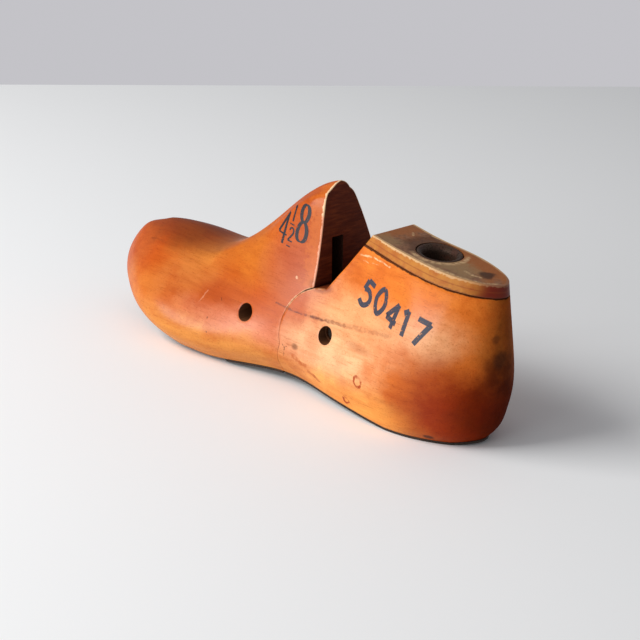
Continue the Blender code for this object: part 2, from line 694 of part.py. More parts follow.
def make_plate(name, plane_along, toe_side, nails, nail_name, block):
    """Sheet-steel plate under a block, with its nails."""
    mesh = sole_sheet(name, plane_along, toe_side)
    if mesh.polygons[0].normal.z < 0:
        mesh.flip_normals()
    plate = add_object(name, mesh, "plate_steel")
    solid = plate.modifiers.new("sheet", "SOLIDIFY")
    solid.thickness = PLATE_THICK
    solid.offset = -1
    spots = []
    for along, across in nails:
        out = sole_slope(along)
        under = place(along, across, float(sole_up(along)[0]) - GAP - PLATE_THICK)
        spots.append((under - out * NAIL_SINK, out))
    shanks, heads = nail_holes(spots, NAIL_HEAD, NAIL_LENGTH)
    cut(plate, rods_cutter(name + "_head_holes", heads, SMALL_STEPS))
    cut(block, rods_cutter(name + "_nail_holes", shanks, SMALL_STEPS))
    made = [plate]
    for i, (spot, out) in enumerate(spots, 1):
        made.append(make_nail(f"{nail_name}_{i}", spot, out, NAIL_HEAD, NAIL_LENGTH, "plate_steel"))
    return made


def joint_along_at_floor():
    """Where the joint meets the floor."""
    (along, up), (low_along, low_up) = joint_line(FACE_ALONG, 0.0)[-2:]
    return along + (low_along - along) * up / (up - low_up)


FOREPART, HEEL_PART = make_blocks()
TOP_PLATE = make_top_plate()
make_thimble(HEEL_PART, TOP_PLATE)
make_top_nail(HEEL_PART, TOP_PLATE)
make_hinge(FOREPART, HEEL_PART)
make_spring()
SEAM = joint_along_at_floor()
SOLE_NAILS = [(SEAM + ahead, across) for ahead, across in WAIST_NAILS]
SOLE_NAILS += [(LENGTH - behind, across) for behind, across in TOE_NAILS]
make_plate("sole_plate", SEAM + GAP, True, SOLE_NAILS, "sole_nail", FOREPART)
for item in make_plate("heel_plate", SEAM - PLATE_SEAM, False, HEEL_NAILS, "heel_nail", HEEL_PART):
    carry(HEEL_AXIS, item)
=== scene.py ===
# Hinged wooden shoe last for a right foot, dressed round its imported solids. Metres, +Z up, toe
# towards -X, inner side -Y. Places on the last are given as along (from the heel's back), across
# (from the centre line, inner side negative) and up (from the floor).
import math

import bmesh
import bpy
import numpy as np
from mathutils import Matrix, Vector, noise
from mathutils.bvhtree import BVHTree


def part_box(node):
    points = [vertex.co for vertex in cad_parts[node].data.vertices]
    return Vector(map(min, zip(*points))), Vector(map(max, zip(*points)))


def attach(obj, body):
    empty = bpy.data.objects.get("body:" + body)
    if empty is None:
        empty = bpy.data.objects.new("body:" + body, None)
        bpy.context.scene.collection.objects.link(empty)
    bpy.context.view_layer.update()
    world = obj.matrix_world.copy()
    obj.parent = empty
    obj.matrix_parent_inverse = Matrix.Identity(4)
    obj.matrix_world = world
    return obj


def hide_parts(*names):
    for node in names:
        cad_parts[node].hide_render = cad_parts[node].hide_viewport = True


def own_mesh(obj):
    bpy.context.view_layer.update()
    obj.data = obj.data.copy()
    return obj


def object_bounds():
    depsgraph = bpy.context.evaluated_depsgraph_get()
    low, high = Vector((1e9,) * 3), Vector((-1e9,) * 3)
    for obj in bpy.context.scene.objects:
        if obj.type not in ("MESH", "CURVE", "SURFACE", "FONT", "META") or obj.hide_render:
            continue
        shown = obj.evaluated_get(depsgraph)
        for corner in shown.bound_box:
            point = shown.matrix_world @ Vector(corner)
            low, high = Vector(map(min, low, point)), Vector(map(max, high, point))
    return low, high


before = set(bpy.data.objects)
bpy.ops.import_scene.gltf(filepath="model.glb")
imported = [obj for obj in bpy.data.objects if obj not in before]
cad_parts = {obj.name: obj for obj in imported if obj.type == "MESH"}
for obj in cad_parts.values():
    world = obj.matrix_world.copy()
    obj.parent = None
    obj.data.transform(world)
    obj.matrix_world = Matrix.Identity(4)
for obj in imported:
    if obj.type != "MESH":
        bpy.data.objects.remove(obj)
cad_box = [list(corner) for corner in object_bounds()]


# Camera, floor and light. The last stands on a pale board in front of a grey wall, and a wide
# window on the left lights its inner side.
FOCAL_LENGTH = 89.4
SENSOR = 36.0
CAMERA_PLACE = Vector((0.45656, -0.45557, 0.27440))
CAMERA_LOOK = Vector((-0.6528, 0.6638, -0.3649)).normalized()
CAMERA_ROLL = math.radians(2.96)
BOARD_BEHIND = 0.53          # the board ends this far behind the last
BOARD_SIZE = 3.0
BOARD_TURN = math.radians(12.0)
BOARD_COLOUR = (0.90, 0.90, 0.895, 1)
WALL_COLOUR = (0.55, 0.545, 0.575, 1)
SKY_COLOUR = (0.93, 0.95, 1.0, 1)
SKY_LIGHT = 0.30

camera = bpy.data.objects.new("camera", bpy.data.cameras.new("camera"))
camera.data.lens = FOCAL_LENGTH
camera.data.sensor_width = SENSOR
level_right = CAMERA_LOOK.cross(Vector((0, 0, 1))).normalized()
level_up = level_right.cross(CAMERA_LOOK)
camera_right = level_right * math.cos(CAMERA_ROLL) + level_up * math.sin(CAMERA_ROLL)
camera_up = level_up * math.cos(CAMERA_ROLL) - level_right * math.sin(CAMERA_ROLL)
turn = Matrix((camera_right, camera_up, -CAMERA_LOOK)).transposed()
camera.matrix_world = Matrix.Translation(CAMERA_PLACE) @ turn.to_4x4()
bpy.context.scene.collection.objects.link(camera)
bpy.context.scene.camera = camera
bpy.context.scene.view_settings.view_transform = "Standard"


def fill(tree, node, inputs):
    """Give a node's inputs their values, or link them to other nodes' outputs."""
    for key, value in inputs.items():
        if isinstance(value, bpy.types.NodeSocket):
            tree.links.new(value, node.inputs[key])
        else:
            node.inputs[key].default_value = value


def add(tree, kind, inputs=None, **settings):
    """A node with its settings and its inputs."""
    made = tree.nodes.new(kind)
    for key, value in settings.items():
        setattr(made, key, value)
    fill(tree, made, inputs or {})
    return made


def new_piece(name, shape, *materials):
    """A mesh object made of a shape, which is freed."""
    made = bpy.data.objects.new(name, bpy.data.meshes.new(name))
    shape.to_mesh(made.data)
    shape.free()
    for material in materials:
        made.data.materials.append(material)
    bpy.context.scene.collection.objects.link(made)
    return made


finish = bpy.data.materials.new("board")
finish.use_nodes = True
fill(finish.node_tree, finish.node_tree.nodes["Principled BSDF"],
     {"Base Color": BOARD_COLOUR, "Roughness": 0.8, "Specular IOR Level": 0.2})
shape = bmesh.new()
bmesh.ops.create_grid(shape, x_segments=1, y_segments=1, size=BOARD_SIZE / 2)
bmesh.ops.translate(shape, verts=shape.verts, vec=(0, BOARD_BEHIND - BOARD_SIZE / 2, 0))
heading = math.atan2(CAMERA_LOOK.y, CAMERA_LOOK.x) - math.pi / 2 + BOARD_TURN
bmesh.ops.rotate(shape, verts=shape.verts, matrix=Matrix.Rotation(heading, 3, "Z"))
board = new_piece("board", shape, finish)

# The wall shows to the camera only, and the sky lights the last evenly and shows in its reflections
world = bpy.data.worlds.new("room")
bpy.context.scene.world = world
world.use_nodes = True
tree = world.node_tree
sky = tree.nodes["Background"]
fill(tree, sky, {"Color": SKY_COLOUR, "Strength": SKY_LIGHT})
wall = add(tree, "ShaderNodeBackground", {"Color": WALL_COLOUR, "Strength": 1.0})
seen = add(tree, "ShaderNodeLightPath").outputs["Is Camera Ray"]
shown = add(tree, "ShaderNodeMixShader", {0: seen, 1: sky.outputs[0], 2: wall.outputs[0]})
tree.links.new(shown.outputs[0], tree.nodes["World Output"].inputs["Surface"])


def standing(centre, axis, lead="Z"):
    """The matrix that takes a thing to a centre and turns its lead along an axis."""
    return Matrix.Translation(centre) @ axis.to_track_quat(lead, "Y").to_matrix().to_4x4()


def add_light(name, place, target, size, power):
    """A soft rectangular lamp that faces a place on the last."""
    lamp = bpy.data.lights.new(name, "AREA")
    lamp.shape = "RECTANGLE"
    lamp.size, lamp.size_y = size
    lamp.energy = power
    made = bpy.data.objects.new(name, lamp)
    bpy.context.scene.collection.objects.link(made)
    made.matrix_world = standing(place, Vector(target) - Vector(place), "-Z")
    return made


add_light("window", (-0.27, -1.22, 0.23), (0, 0, 0.03), (1.15, 0.30), 9.0)
# The upper light is too soft to mirror in the shellac
upper = add_light("upper_light", (-0.60, -0.88, 0.88), (0, 0, 0.04), (0.9, 0.7), 16.5)
upper.visible_glossy = False


# The turned last. A lathe cuts the whole last from one block of maple to the shape of the foot,
# before it is sawn in two. Its surface runs through level outlines between the sole and the ridge.
LENGTH = 0.220
TOE_ACROSS = -0.0080         # the toe's tip lies on the inner side
HEEL_STATIONS = (0.0195, 0.0445, 0.0745, 0.0995)      # heel, seat, arch, waist, from the heel's back
TOE_STATIONS = (0.0905, 0.065, 0.040, 0.020, 0.006)   # instep, ball, vamp, toe, tip, from the toe's tip
SOLE_UPS = (0.0041, 0.0008, 0.0016, 0.0039, 0.0049, 0.0026, 0.0011, 0.0051, 0.0105, 0.0148, 0.0170)
RIDGE_UPS = (0.0988, 0.0920, 0.0825, 0.0904, 0.0862, 0.0617, 0.0464, 0.0474, 0.0462, 0.0440, 0.0430)
RIDGE_ACROSS = (0, -0.0001, -0.0008, -0.0025, -0.0042, -0.0038, -0.0042, -0.0054, -0.0066, -0.0076,
                -0.0080)
RIDGE_ENDS = (0.0116, 0.1956)
FLOOR_UP = 0.0013            # lowest wood, above the steel plates
# Level outlines from the sole's edge up: share of the height, distance in from the heel's back and
# from the toe's tip, half widths at the stations on the inner and on the outer side
LEVELS = (
    (0.00, 0.0076, 0.0067,
     (0.0185, 0.0230, 0.0218, 0.0206, 0.0270, 0.0303, 0.0298, 0.0238, 0.0177),
     (0.0186, 0.0237, 0.0252, 0.0251, 0.0311, 0.0331, 0.0255, 0.0140, 0.0055)),
    (0.05, 0.0035, 0.0047,
     (0.0199, 0.0245, 0.0240, 0.0237, 0.0295, 0.0331, 0.0321, 0.0249, 0.0180),
     (0.0212, 0.0249, 0.0266, 0.0266, 0.0327, 0.0342, 0.0267, 0.0152, 0.0064)),
    (0.13, 0.0012, 0.0019,
     (0.0206, 0.0268, 0.0268, 0.0273, 0.0327, 0.0370, 0.0355, 0.0268, 0.0183),
     (0.0225, 0.0267, 0.0282, 0.0283, 0.0350, 0.0358, 0.0284, 0.0172, 0.0078)),
    (0.28, 0.0000, 0.0000,
     (0.0230, 0.0283, 0.0254, 0.0260, 0.0318, 0.0388, 0.0380, 0.0284, 0.0182),
     (0.0231, 0.0280, 0.0270, 0.0268, 0.0340, 0.0361, 0.0297, 0.0190, 0.0090)),
    (0.57, 0.0024, 0.0021,
     (0.0203, 0.0218, 0.0168, 0.0194, 0.0240, 0.0325, 0.0337, 0.0254, 0.0169),
     (0.0167, 0.0241, 0.0198, 0.0178, 0.0225, 0.0294, 0.0249, 0.0155, 0.0070)),
    (0.865, 0.0062, 0.0089,
     (0.0106, 0.0144, 0.0105, 0.0152, 0.0148, 0.0206, 0.0222, 0.0183, 0.0136),
     (0.0085, 0.0118, 0.0106, 0.0063, 0.0125, 0.0168, 0.0131, 0.0076, 0.0022)),
    (0.955, 0.0093, 0.0175,
     (0.0075, 0.0093, 0.0071, 0.0118, 0.0090, 0.0140, 0.0157, 0.0139, 0.0113),
     (0.0060, 0.0081, 0.0022, 0.0022, 0.0062, 0.0086, 0.0066, 0.0025, -0.0014)),
)
SAMPLES = 300                # samples of the surface from heel to toe
LAPS = 20                    # samples between two levels
SIDE = len(LEVELS) * LAPS              # samples from the sole's edge up to the ridge
STATIONS = np.array([*HEEL_STATIONS, *(LENGTH - d for d in TOE_STATIONS)])


def bends(knots, values, closed=False):
    """Second derivatives of a cubic spline through values at knots, straight at its ends or closed."""
    step = np.diff(knots)
    slope = np.diff(values, axis=0) / step[:, None]
    system = np.eye(len(knots))
    load = np.zeros_like(values)
    for i in range(1, len(knots) - 1):
        system[i, i - 1:i + 2] = step[i - 1], 2 * (step[i - 1] + step[i]), step[i]
        load[i] = 6 * (slope[i] - slope[i - 1])
    if closed:
        system[0, -1] = -1
        system[-1, -1] = 2 * step[-1]
        system[-1, -2] = step[-1]
        system[-1, 0] = 2 * step[0]
        system[-1, 1] = step[0]
        load[-1] = 6 * (slope[0] - slope[-1])
    return np.linalg.solve(system, load)


def read_spline(knots, values, bend, places):
    """The spline's values at places."""
    places = np.atleast_1d(places)
    i = np.clip(np.searchsorted(knots, places, side="right") - 1, 0, len(knots) - 2)
    width = (knots[i + 1] - knots[i])[:, None]
    after = (places - knots[i])[:, None] / width
    before = 1 - after
    straight = before * values[i] + after * values[i + 1]
    bent = (before ** 3 - before) * bend[i] + (after ** 3 - after) * bend[i + 1]
    return straight + bent * width ** 2 / 6


def spline(knots, values, places, closed=False):
    """Cubic spline through values at knots, read at places."""
    knots = np.asarray(knots, float)
    values = np.asarray(values, float)
    flat = values.reshape(len(knots), -1)
    curve = read_spline(knots, flat, bends(knots, flat, closed), places)
    return curve.reshape(len(curve), *values.shape[1:])


def running(steps):
    """The length run before each step and after the last."""
    return np.concatenate(([0], np.cumsum(steps)))


def eased(count):
    """Shares from 0 to 1, closer together at both ends."""
    return (1 - np.cos(np.linspace(0, math.pi, count + 1))) / 2


def sole_up(along):
    """Height of the sole's edge."""
    return np.maximum(spline((0, *STATIONS, LENGTH), SOLE_UPS, along), FLOOR_UP)


def ridge_up(along):
    """Height of the ridge, where the two sides meet."""
    return spline((0, *STATIONS, LENGTH), RIDGE_UPS, along)


def level_points(share, heel_in, toe_in, inner, outer):
    """Inner and outer half of a level outline, heel to toe, as rows of along, across, up."""
    toe = LENGTH - toe_in
    stations = heel_in + STATIONS * (toe - heel_in) / LENGTH
    along = np.concatenate(([heel_in], stations, [toe], stations[::-1], [heel_in]))
    across = np.concatenate(([0], -np.array(inner), [TOE_ACROSS], outer[::-1], [0]))
    outline = np.column_stack((along, across))
    knots = running(np.sqrt(np.hypot(*np.diff(outline, axis=0).T)))
    tip = knots[len(STATIONS) + 1]
    halves = []
    for start in (0.0, knots[-1]):
        plan = spline(knots, outline, np.linspace(start, tip, SAMPLES + 1), True)
        low = sole_up(plan[:, 0])
        halves.append(np.column_stack((plan, low + share * (ridge_up(plan[:, 0]) - low))))
    return halves


def last_surface():
    """Samples over the last: rows from the inner sole edge over the ridge to the outer one."""
    halves = [level_points(*level) for level in LEVELS]
    along = RIDGE_ENDS[0] + (RIDGE_ENDS[1] - RIDGE_ENDS[0]) * eased(SAMPLES)
    across = spline((0, *STATIONS, LENGTH), RIDGE_ACROSS, along)
    ridge = np.column_stack((along, across, ridge_up(along)))
    guides = [inner for inner, outer in halves] + [ridge] + [outer for inner, outer in halves[::-1]]
    rows = np.linspace(0, len(guides) - 1, (len(guides) - 1) * LAPS + 1)
    return spline(np.arange(len(guides)), np.array(guides), rows)


surface = last_surface()
surface[..., 0] *= LENGTH / surface[..., 0].max()
# The thimble stands on the centre line
CENTRE = Vector((LENGTH / 2, -sum(corner.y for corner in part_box("thimble")) / 2, 0))
widths = [corner[1] + CENTRE.y for corner in cad_box]
fits = (widths[0] / surface[..., 1].min(), widths[1] / surface[..., 1].max())
surface[..., 1] *= np.where(surface[..., 1] < 0, *fits)
SIDES = (surface[:SIDE + 1], surface[::-1][:SIDE + 1])   # inner and outer, each from the sole up


def place(along, across, up):
    """A place on the last in the frame."""
    return Vector((CENTRE.x - along, across - CENTRE.y, up))


# Where the saw went. The joint is a round lobe on the heel block in a seat in the forepart, with a
# straight leg below it, and two sawn faces leave the V between the blocks open above it.
GAP = 0.0003                 # between pieces that touch on the real last
JOINT_GAP = 0.0001           # between the blocks along the joint
LOBE_ALONG = 0.0814
LOBE_UP = 0.0286
LOBE_RADIUS = 0.0193
LEG_UP = 0.0205
LEG_LEAN = math.radians(12.0)
LEG_REACH = 0.030            # the leg's line counts below this height
FACE_ALONG = 0.0884
FACE_LEAN = math.radians(3.4)
SLOPE_ALONG = 0.0822
SLOPE_LEAN = math.radians(33.4)
SLOPE_REACH = 0.035          # the slope's line counts above this height
TOP_UP = 0.0684
TOP_PITCH = math.radians(5.77)
TOP_THICK = 0.0049
FAR = 1.0                    # a depth that never counts
TOP_NORMAL = Matrix.Rotation(TOP_PITCH, 3, "Y") @ Vector((0, 0, 1))


def arc_up(along, radius):
    """Height of the top of a circle round the lobe's centre."""
    return LOBE_UP + math.sqrt(radius ** 2 - (along - LOBE_ALONG) ** 2)


# Where the two sawn faces stand on the lobe and on its seat
FACE_UP = arc_up(FACE_ALONG, LOBE_RADIUS)
SLOPE_UP = arc_up(SLOPE_ALONG, LOBE_RADIUS - GAP)


def top_up(along):
    """Height of the top piece's upper face."""
    return TOP_UP + along * math.tan(TOP_PITCH)


def leg_along(radius):
    """Where the leg leaves the lobe."""
    return LOBE_ALONG + math.sqrt(radius ** 2 - (LEG_UP - LOBE_UP) ** 2)


def lobe_and_leg(points, radius):
    """Distances in front of the lobe and in front of the leg's line."""
    along, up = points[..., 0], points[..., 2]
    lobe = np.hypot(along - LOBE_ALONG, up - LOBE_UP) - radius
    leg = (along - leg_along(radius) - (LEG_UP - up) * math.tan(LEG_LEAN)) * math.cos(LEG_LEAN)
    return lobe, leg


def before_face(points):
    """Depth inside the forepart, from its sawn face, its seat and its leg."""
    along, up = points[..., 0], points[..., 2]
    face = (along - FACE_ALONG - (up - FACE_UP) * math.tan(FACE_LEAN)) * math.cos(FACE_LEAN)
    lobe, leg = lobe_and_leg(points, LOBE_RADIUS)
    return np.minimum(face, np.minimum(lobe, np.where(up < LEG_REACH, leg, FAR)))


def behind_slope(points):
    """Depth inside the heel block, from its sawn slope."""
    along, up = points[..., 0], points[..., 2]
    return (SLOPE_ALONG - (up - SLOPE_UP) * math.tan(SLOPE_LEAN) - along) * math.cos(SLOPE_LEAN)


def behind_joint(points):
    """Depth inside the heel block, from its slope, its lobe and its leg."""
    up = points[..., 2]
    lobe, leg = lobe_and_leg(points, LOBE_RADIUS - JOINT_GAP)
    slope = np.where(up > SLOPE_REACH, behind_slope(points), -FAR)
    return np.maximum(slope, np.maximum(-lobe, np.where(up < LEG_REACH, -leg, -FAR)))


# Making a block. Each side is sampled again so that its rows end exactly on the cuts, every edge
# gets a worn rounding, and the cut faces are ruled across from side to side.
WELD = 1e-6
CROSS_STEPS = 24
EDGE_SOFT = 0.41             # how near the middle of a rounding comes to the sharp corner
ROW_STEP = 0.0007            # spacing of rows on the cut
END_SHARE = 0.006            # share of a side's height that its rounding takes
MEET_FROM = 4 / 9            # the rows of the two sides draw together after this share of the way
WEAR_RANGE = 0.75            # by which an edge is worn more or less than it is on the whole
WEAR_STEP = 0.11             # step between samples in the wear's noise
WEAR_SHIFT = 7.3             # step between edges in it
JOINT_TOP = 0.0462           # below this the edges of the joint have kept crisp
JOINT_WEAR = 0.3             # share of the wear that they have
SHARP = math.radians(50)     # edges sharper than this are not shaded smooth


def crossing(values, level):
    """Where a line of samples first passes a level, in samples."""
    over = values - level
    i = int(np.nonzero(over[:-1] * over[1:] <= 0)[0][0])
    return i + over[i] / (over[i] - over[i + 1])


def inward(chain, normals, centre):
    """Directions square to a chain of points in the face with these normals, towards the centre."""
    tangents = np.gradient(chain, axis=0)
    found = np.cross(tangents, normals)
    found /= np.linalg.norm(found, axis=1, keepdims=True)
    return found * np.sign((found * (centre - chain)).sum())


def rounding(corner, before, after):
    """The middle row of a rounded edge."""
    return EDGE_SOFT * corner + (1 - EDGE_SOFT) * (before + after) / 2


def gradient(depth, points):
    """Directions in which a depth grows, at points on the cut."""
    step = 1e-5
    found = np.zeros_like(points)
    for axis in (0, 2):
        ahead = points.copy()
        ahead[:, axis] += step
        found[:, axis] = (depth(ahead) - depth(points)) / step
    return found


def worn(count, radius, seed):
    """Radii along an edge, larger and smaller where it is worn and crisp."""
    places = np.arange(count) * WEAR_STEP + seed * WEAR_SHIFT
    return radius * np.array([1 + WEAR_RANGE * noise.noise((p, seed, 0)) for p in places])


def cut_corners(side, depth):
    """Where each row of a side, taken from the waste end, meets the cut."""
    found = []
    for row in side:
        first = crossing(depth(row), 0.0)
        i = int(first)
        found.append(row[i] + (row[i + 1] - row[i]) * (first - i))
    return np.array(found)


def marks_on_cut(side, depth, heights):
    """Run along a side's cut edge, and the places on it that rows have to meet."""
    corners = cut_corners(side, depth)
    shares = np.linspace(0, 1, len(side))
    run = running(np.hypot(np.diff(corners[:, 0]), np.diff(corners[:, 2])))
    inside = [np.interp(up, corners[:, 2], run) for up in heights]
    return run, [np.interp(END_SHARE, shares, run), *inside, np.interp(1 - END_SHARE, shares, run)]


def shares_on_cut(run, marks, counts):
    """Shares of a side's height whose rows meet the cut at even steps between the marks."""
    spans = zip(marks, marks[1:], counts)
    picked = [np.linspace(first, last, count + 1)[:-1] for first, last, count in spans]
    return np.interp(np.concatenate([*picked, [marks[-1]]]), run, np.linspace(0, 1, len(run)))


def resample(side, lows, highs, shares):
    """Rows of a side at shares of the way from the low to the high sample of each column."""
    index = np.arange(side.shape[0])
    bend = bends(index, side.reshape(len(side), -1)).reshape(side.shape)
    shares = np.broadcast_to(shares, (side.shape[1], shares.shape[-1]))
    columns = []
    for i, (low, high) in enumerate(zip(lows, highs)):
        columns.append(read_spline(index, side[:, i], bend[:, i], low + shares[i] * (high - low)))
    return np.stack(columns, axis=1)


def trim(rows, depth, centre, columns, radius, seed):
    """Rows that start on the cut's face, turn its edge and run on to the far end."""
    index = np.arange(rows.shape[1])
    flipped = rows.swapaxes(0, 1)
    bend = bends(index, flipped.reshape(len(flipped), -1)).reshape(flipped.shape)
    corners = cut_corners(rows, depth)
    radii = worn(len(rows), radius, seed) * np.where(corners[:, 2] < JOINT_TOP, JOINT_WEAR, 1)
    kept = []
    for i, size in enumerate(radii):
        first = crossing(depth(rows[i]), size)
        kept.append(read_spline(index, rows[i], bend[:, i], np.linspace(first, index[-1], columns)))
    kept = np.array(kept)
    face = corners + inward(corners, gradient(depth, corners), centre) * radii[:, None]
    turned = rounding(corners, kept[:, 0], face)
    return np.concatenate((face[:, None], turned[:, None], kept), axis=1)


def edge_rows(corner, beside, normal, centre, radii):
    """The two rows that turn an edge from a side onto the flat face with this normal."""
    face = corner + inward(corner, np.tile(normal, (len(corner), 1)), centre) * radii[:, None]
    return rounding(corner, beside, face), face


def ruled(inner, outer):
    """Rows across from an inner to an outer chain."""
    return inner[None] + (outer - inner)[None] * eased(CROSS_STEPS)[:, None, None]


def add_patch(shape, points, slot):
    """A sheet of faces with its vertices at a grid of places on the last."""
    rows, columns = points.shape[:2]
    made = bmesh.ops.create_grid(shape, x_segments=columns - 1, y_segments=rows - 1, size=1)["verts"]
    for vert, point in zip(made, points.reshape(-1, 3)):
        vert.co = place(*point)
    for face in {face for vert in made for face in vert.link_faces}:
        face.material_index = slot


def shade(mesh):
    """Smooth, but for the sharp edges."""
    mesh.shade_smooth()
    mesh.set_sharp_from_angle(angle=SHARP)


def close_up(name, shape, materials):
    """Weld the patches of a piece into one closed mesh object, smooth but for its sharp edges."""
    bmesh.ops.remove_doubles(shape, verts=shape.verts, dist=WELD)
    bmesh.ops.dissolve_degenerate(shape, edges=shape.edges, dist=WELD)
    bmesh.ops.recalc_face_normals(shape, faces=shape.faces)
    made = new_piece(name, shape, *materials)
    shade(made.data)
    return made


def close_block(name, sides, flat_above, materials):
    """A closed block of two sides, with faces across below, at the cut and, where it is flat, above."""
    shape = bmesh.new()
    for half in sides:
        add_patch(shape, half, 0)
    inner, outer = sides
    chains = [(inner[0], outer[0]), (inner[-1], outer[-1]), (inner[:, 0], outer[:, 0])]
    for chain in chains if flat_above else chains[::2]:
        add_patch(shape, ruled(*chain), 1)
    return close_up(name, shape, materials)


def cut_away(piece, cutters):
    """Cut pieces out of a piece for good, each leaving its own material."""
    for cutter in cutters:
        modifier = piece.modifiers.new("cut", "BOOLEAN")
        modifier.object = cutter
        modifier.material_mode = "TRANSFER"
    bpy.context.view_layer.update()
    mesh = bpy.data.meshes.new_from_object(piece.evaluated_get(bpy.context.evaluated_depsgraph_get()))
    piece.modifiers.clear()
    old = piece.data
    piece.data = mesh
    bpy.data.meshes.remove(old)
    mesh.name = piece.name
    for cutter in cutters:
        bpy.data.objects.remove(cutter)
    shade(mesh)


def cutter(name, shape, material):
    """A piece to cut another with, in the material that it leaves."""
    bmesh.ops.recalc_face_normals(shape, faces=shape.faces)
    return new_piece(name, shape, material)


def rod(start, end, radius, steps=96):
    """A round bar between two places."""
    shape = bmesh.new()
    bmesh.ops.create_cone(shape, cap_ends=True, segments=steps, radius1=radius, radius2=radius,
                          depth=(end - start).length, matrix=standing((start + end) / 2, end - start))
    return shape


def thicken(shape, faces, step, keep=False):
    """Draw faces out by a step, keeping the old ones or not."""
    moved = bmesh.ops.extrude_face_region(shape, geom=faces, use_keep_orig=keep)["geom"]
    verts = [item for item in moved if isinstance(item, bmesh.types.BMVert)]
    bmesh.ops.translate(shape, verts=verts, vec=step)


def slab(outline, across_low, across_high):
    """A block with an outline of along, up points, from one place across to another."""
    shape = bmesh.new()
    face = shape.faces.new([shape.verts.new(place(along, across_low, up)) for along, up in outline])
    thicken(shape, [face], (0, across_high - across_low, 0))
    return shape


# Shellacked maple. The turned sides are stained orange and shellacked. The finish is worn through
# to peach round the joint and the pins, amber along the sole and dark round the heel's back, and
# highlights and shade are painted into it at a few places.
NOWHERE = (0, 0, 0)


def new_group(name, inputs, outputs):
    """An empty node group with its inputs, with what they start at, and its outputs."""
    tree = bpy.data.node_groups.new(name, "ShaderNodeTree")
    for label, value in inputs.items():
        kind = "NodeSocketFloat" if isinstance(value, float) else "NodeSocketVector"
        tree.interface.new_socket(name=label, in_out="INPUT", socket_type=kind).default_value = value
    for label in outputs:
        tree.interface.new_socket(name=label, in_out="OUTPUT", socket_type="NodeSocketFloat")
    return tree, tree.nodes.new("NodeGroupInput").outputs, tree.nodes.new("NodeGroupOutput").inputs


def calc(tree, operation, *values):
    """One step of arithmetic."""
    return add(tree, "ShaderNodeMath", dict(enumerate(values)), operation=operation).outputs[0]


def vector_calc(tree, operation, *values):
    """One step of arithmetic on vectors."""
    found = add(tree, "ShaderNodeVectorMath", dict(enumerate(values)), operation=operation)
    return found.outputs["Value" if operation in ("LENGTH", "DOT_PRODUCT", "DISTANCE") else "Vector"]


def scaled(tree, vector, scale):
    """A vector times a number."""
    return add(tree, "ShaderNodeVectorMath", {0: vector, "Scale": scale}, operation="SCALE").outputs[0]


def speckle(tree, vector, scale, detail=3.0, rough=0.5):
    """Noise from 0 to 1 at so many grains per metre."""
    return add(tree, "ShaderNodeTexNoise", {"Vector": vector, "Scale": scale, "Detail": detail,
                                            "Roughness": rough}).outputs["Fac"]


def band(tree, value, low, high, first=0.0, last=1.0):
    """Ease from first to last as the value goes from low to high."""
    ends = {"Value": value, "From Min": low, "From Max": high, "To Min": first, "To Max": last}
    return add(tree, "ShaderNodeMapRange", ends, interpolation_type="SMOOTHSTEP").outputs["Result"]


def band_along(tree, spot, start, end, first=0.0, last=1.0):
    """Ease from first to last from one place to another along the last."""
    x = add(tree, "ShaderNodeSeparateXYZ", {"Vector": spot}).outputs["X"]
    return band(tree, x, place(start, 0, 0).x, place(end, 0, 0).x, first, last)


def near(tree, distance, crisp, gone):
    """Mask that is 1 up to one distance and has gone at another."""
    return band(tree, distance, crisp, gone, 1.0, 0.0)


def laid(tree, over, under, mask, *shares):
    """One colour over another where the mask is 1, as far as the shares allow."""
    for share in shares:
        mask = calc(tree, "MULTIPLY", mask, share)
    return add(tree, "ShaderNodeMix", {0: mask, 6: under, 7: over}, data_type="RGBA").outputs[2]


def tinted(tree, mask, under, tint):
    """A colour multiplied by a tint where the mask is 1."""
    return add(tree, "ShaderNodeMix", {0: mask, 6: under, 7: tint}, data_type="RGBA",
               blend_type="MULTIPLY").outputs[2]


def off_by(tree, value, aim):
    """How far a value is from its aim."""
    return calc(tree, "ABSOLUTE", calc(tree, "SUBTRACT", value, aim))


def relief(tree, height, strength, depth):
    """The normals of a surface with a bump of this depth."""
    inputs = {"Height": height, "Strength": strength, "Distance": depth}
    return add(tree, "ShaderNodeBump", inputs).outputs[0]


def mapped(tree, vector, scale, turn):
    """A pattern's place, stretched and turned."""
    inputs = {"Vector": vector, "Scale": scale, "Rotation": turn}
    return add(tree, "ShaderNodeMapping", inputs).outputs[0]


def masked(tree, group, spot, **inputs):
    """The mask that a group makes of its inputs."""
    return add(tree, "ShaderNodeGroup", {"Vector": spot, **inputs}, node_tree=group).outputs["Mask"]


def make_blot_group():
    """Mask of a soft blot round a centre, its edge ragged by a noise."""
    inputs = {"Vector": NOWHERE, "Centre": NOWHERE, "Reach": (1, 1, 1), "Soft": 0.4, "Ragged": 0.0}
    tree, given, wanted = new_group("blot", inputs, ["Mask"])
    offset = vector_calc(tree, "SUBTRACT", given["Vector"], given["Centre"])
    far = vector_calc(tree, "LENGTH", vector_calc(tree, "DIVIDE", offset, given["Reach"]))
    far = calc(tree, "ADD", far, given["Ragged"])
    high = calc(tree, "ADD", 1.0, given["Soft"])
    low = calc(tree, "SUBTRACT", 1.0, given["Soft"])
    tree.links.new(near(tree, far, low, high), wanted["Mask"])
    return tree


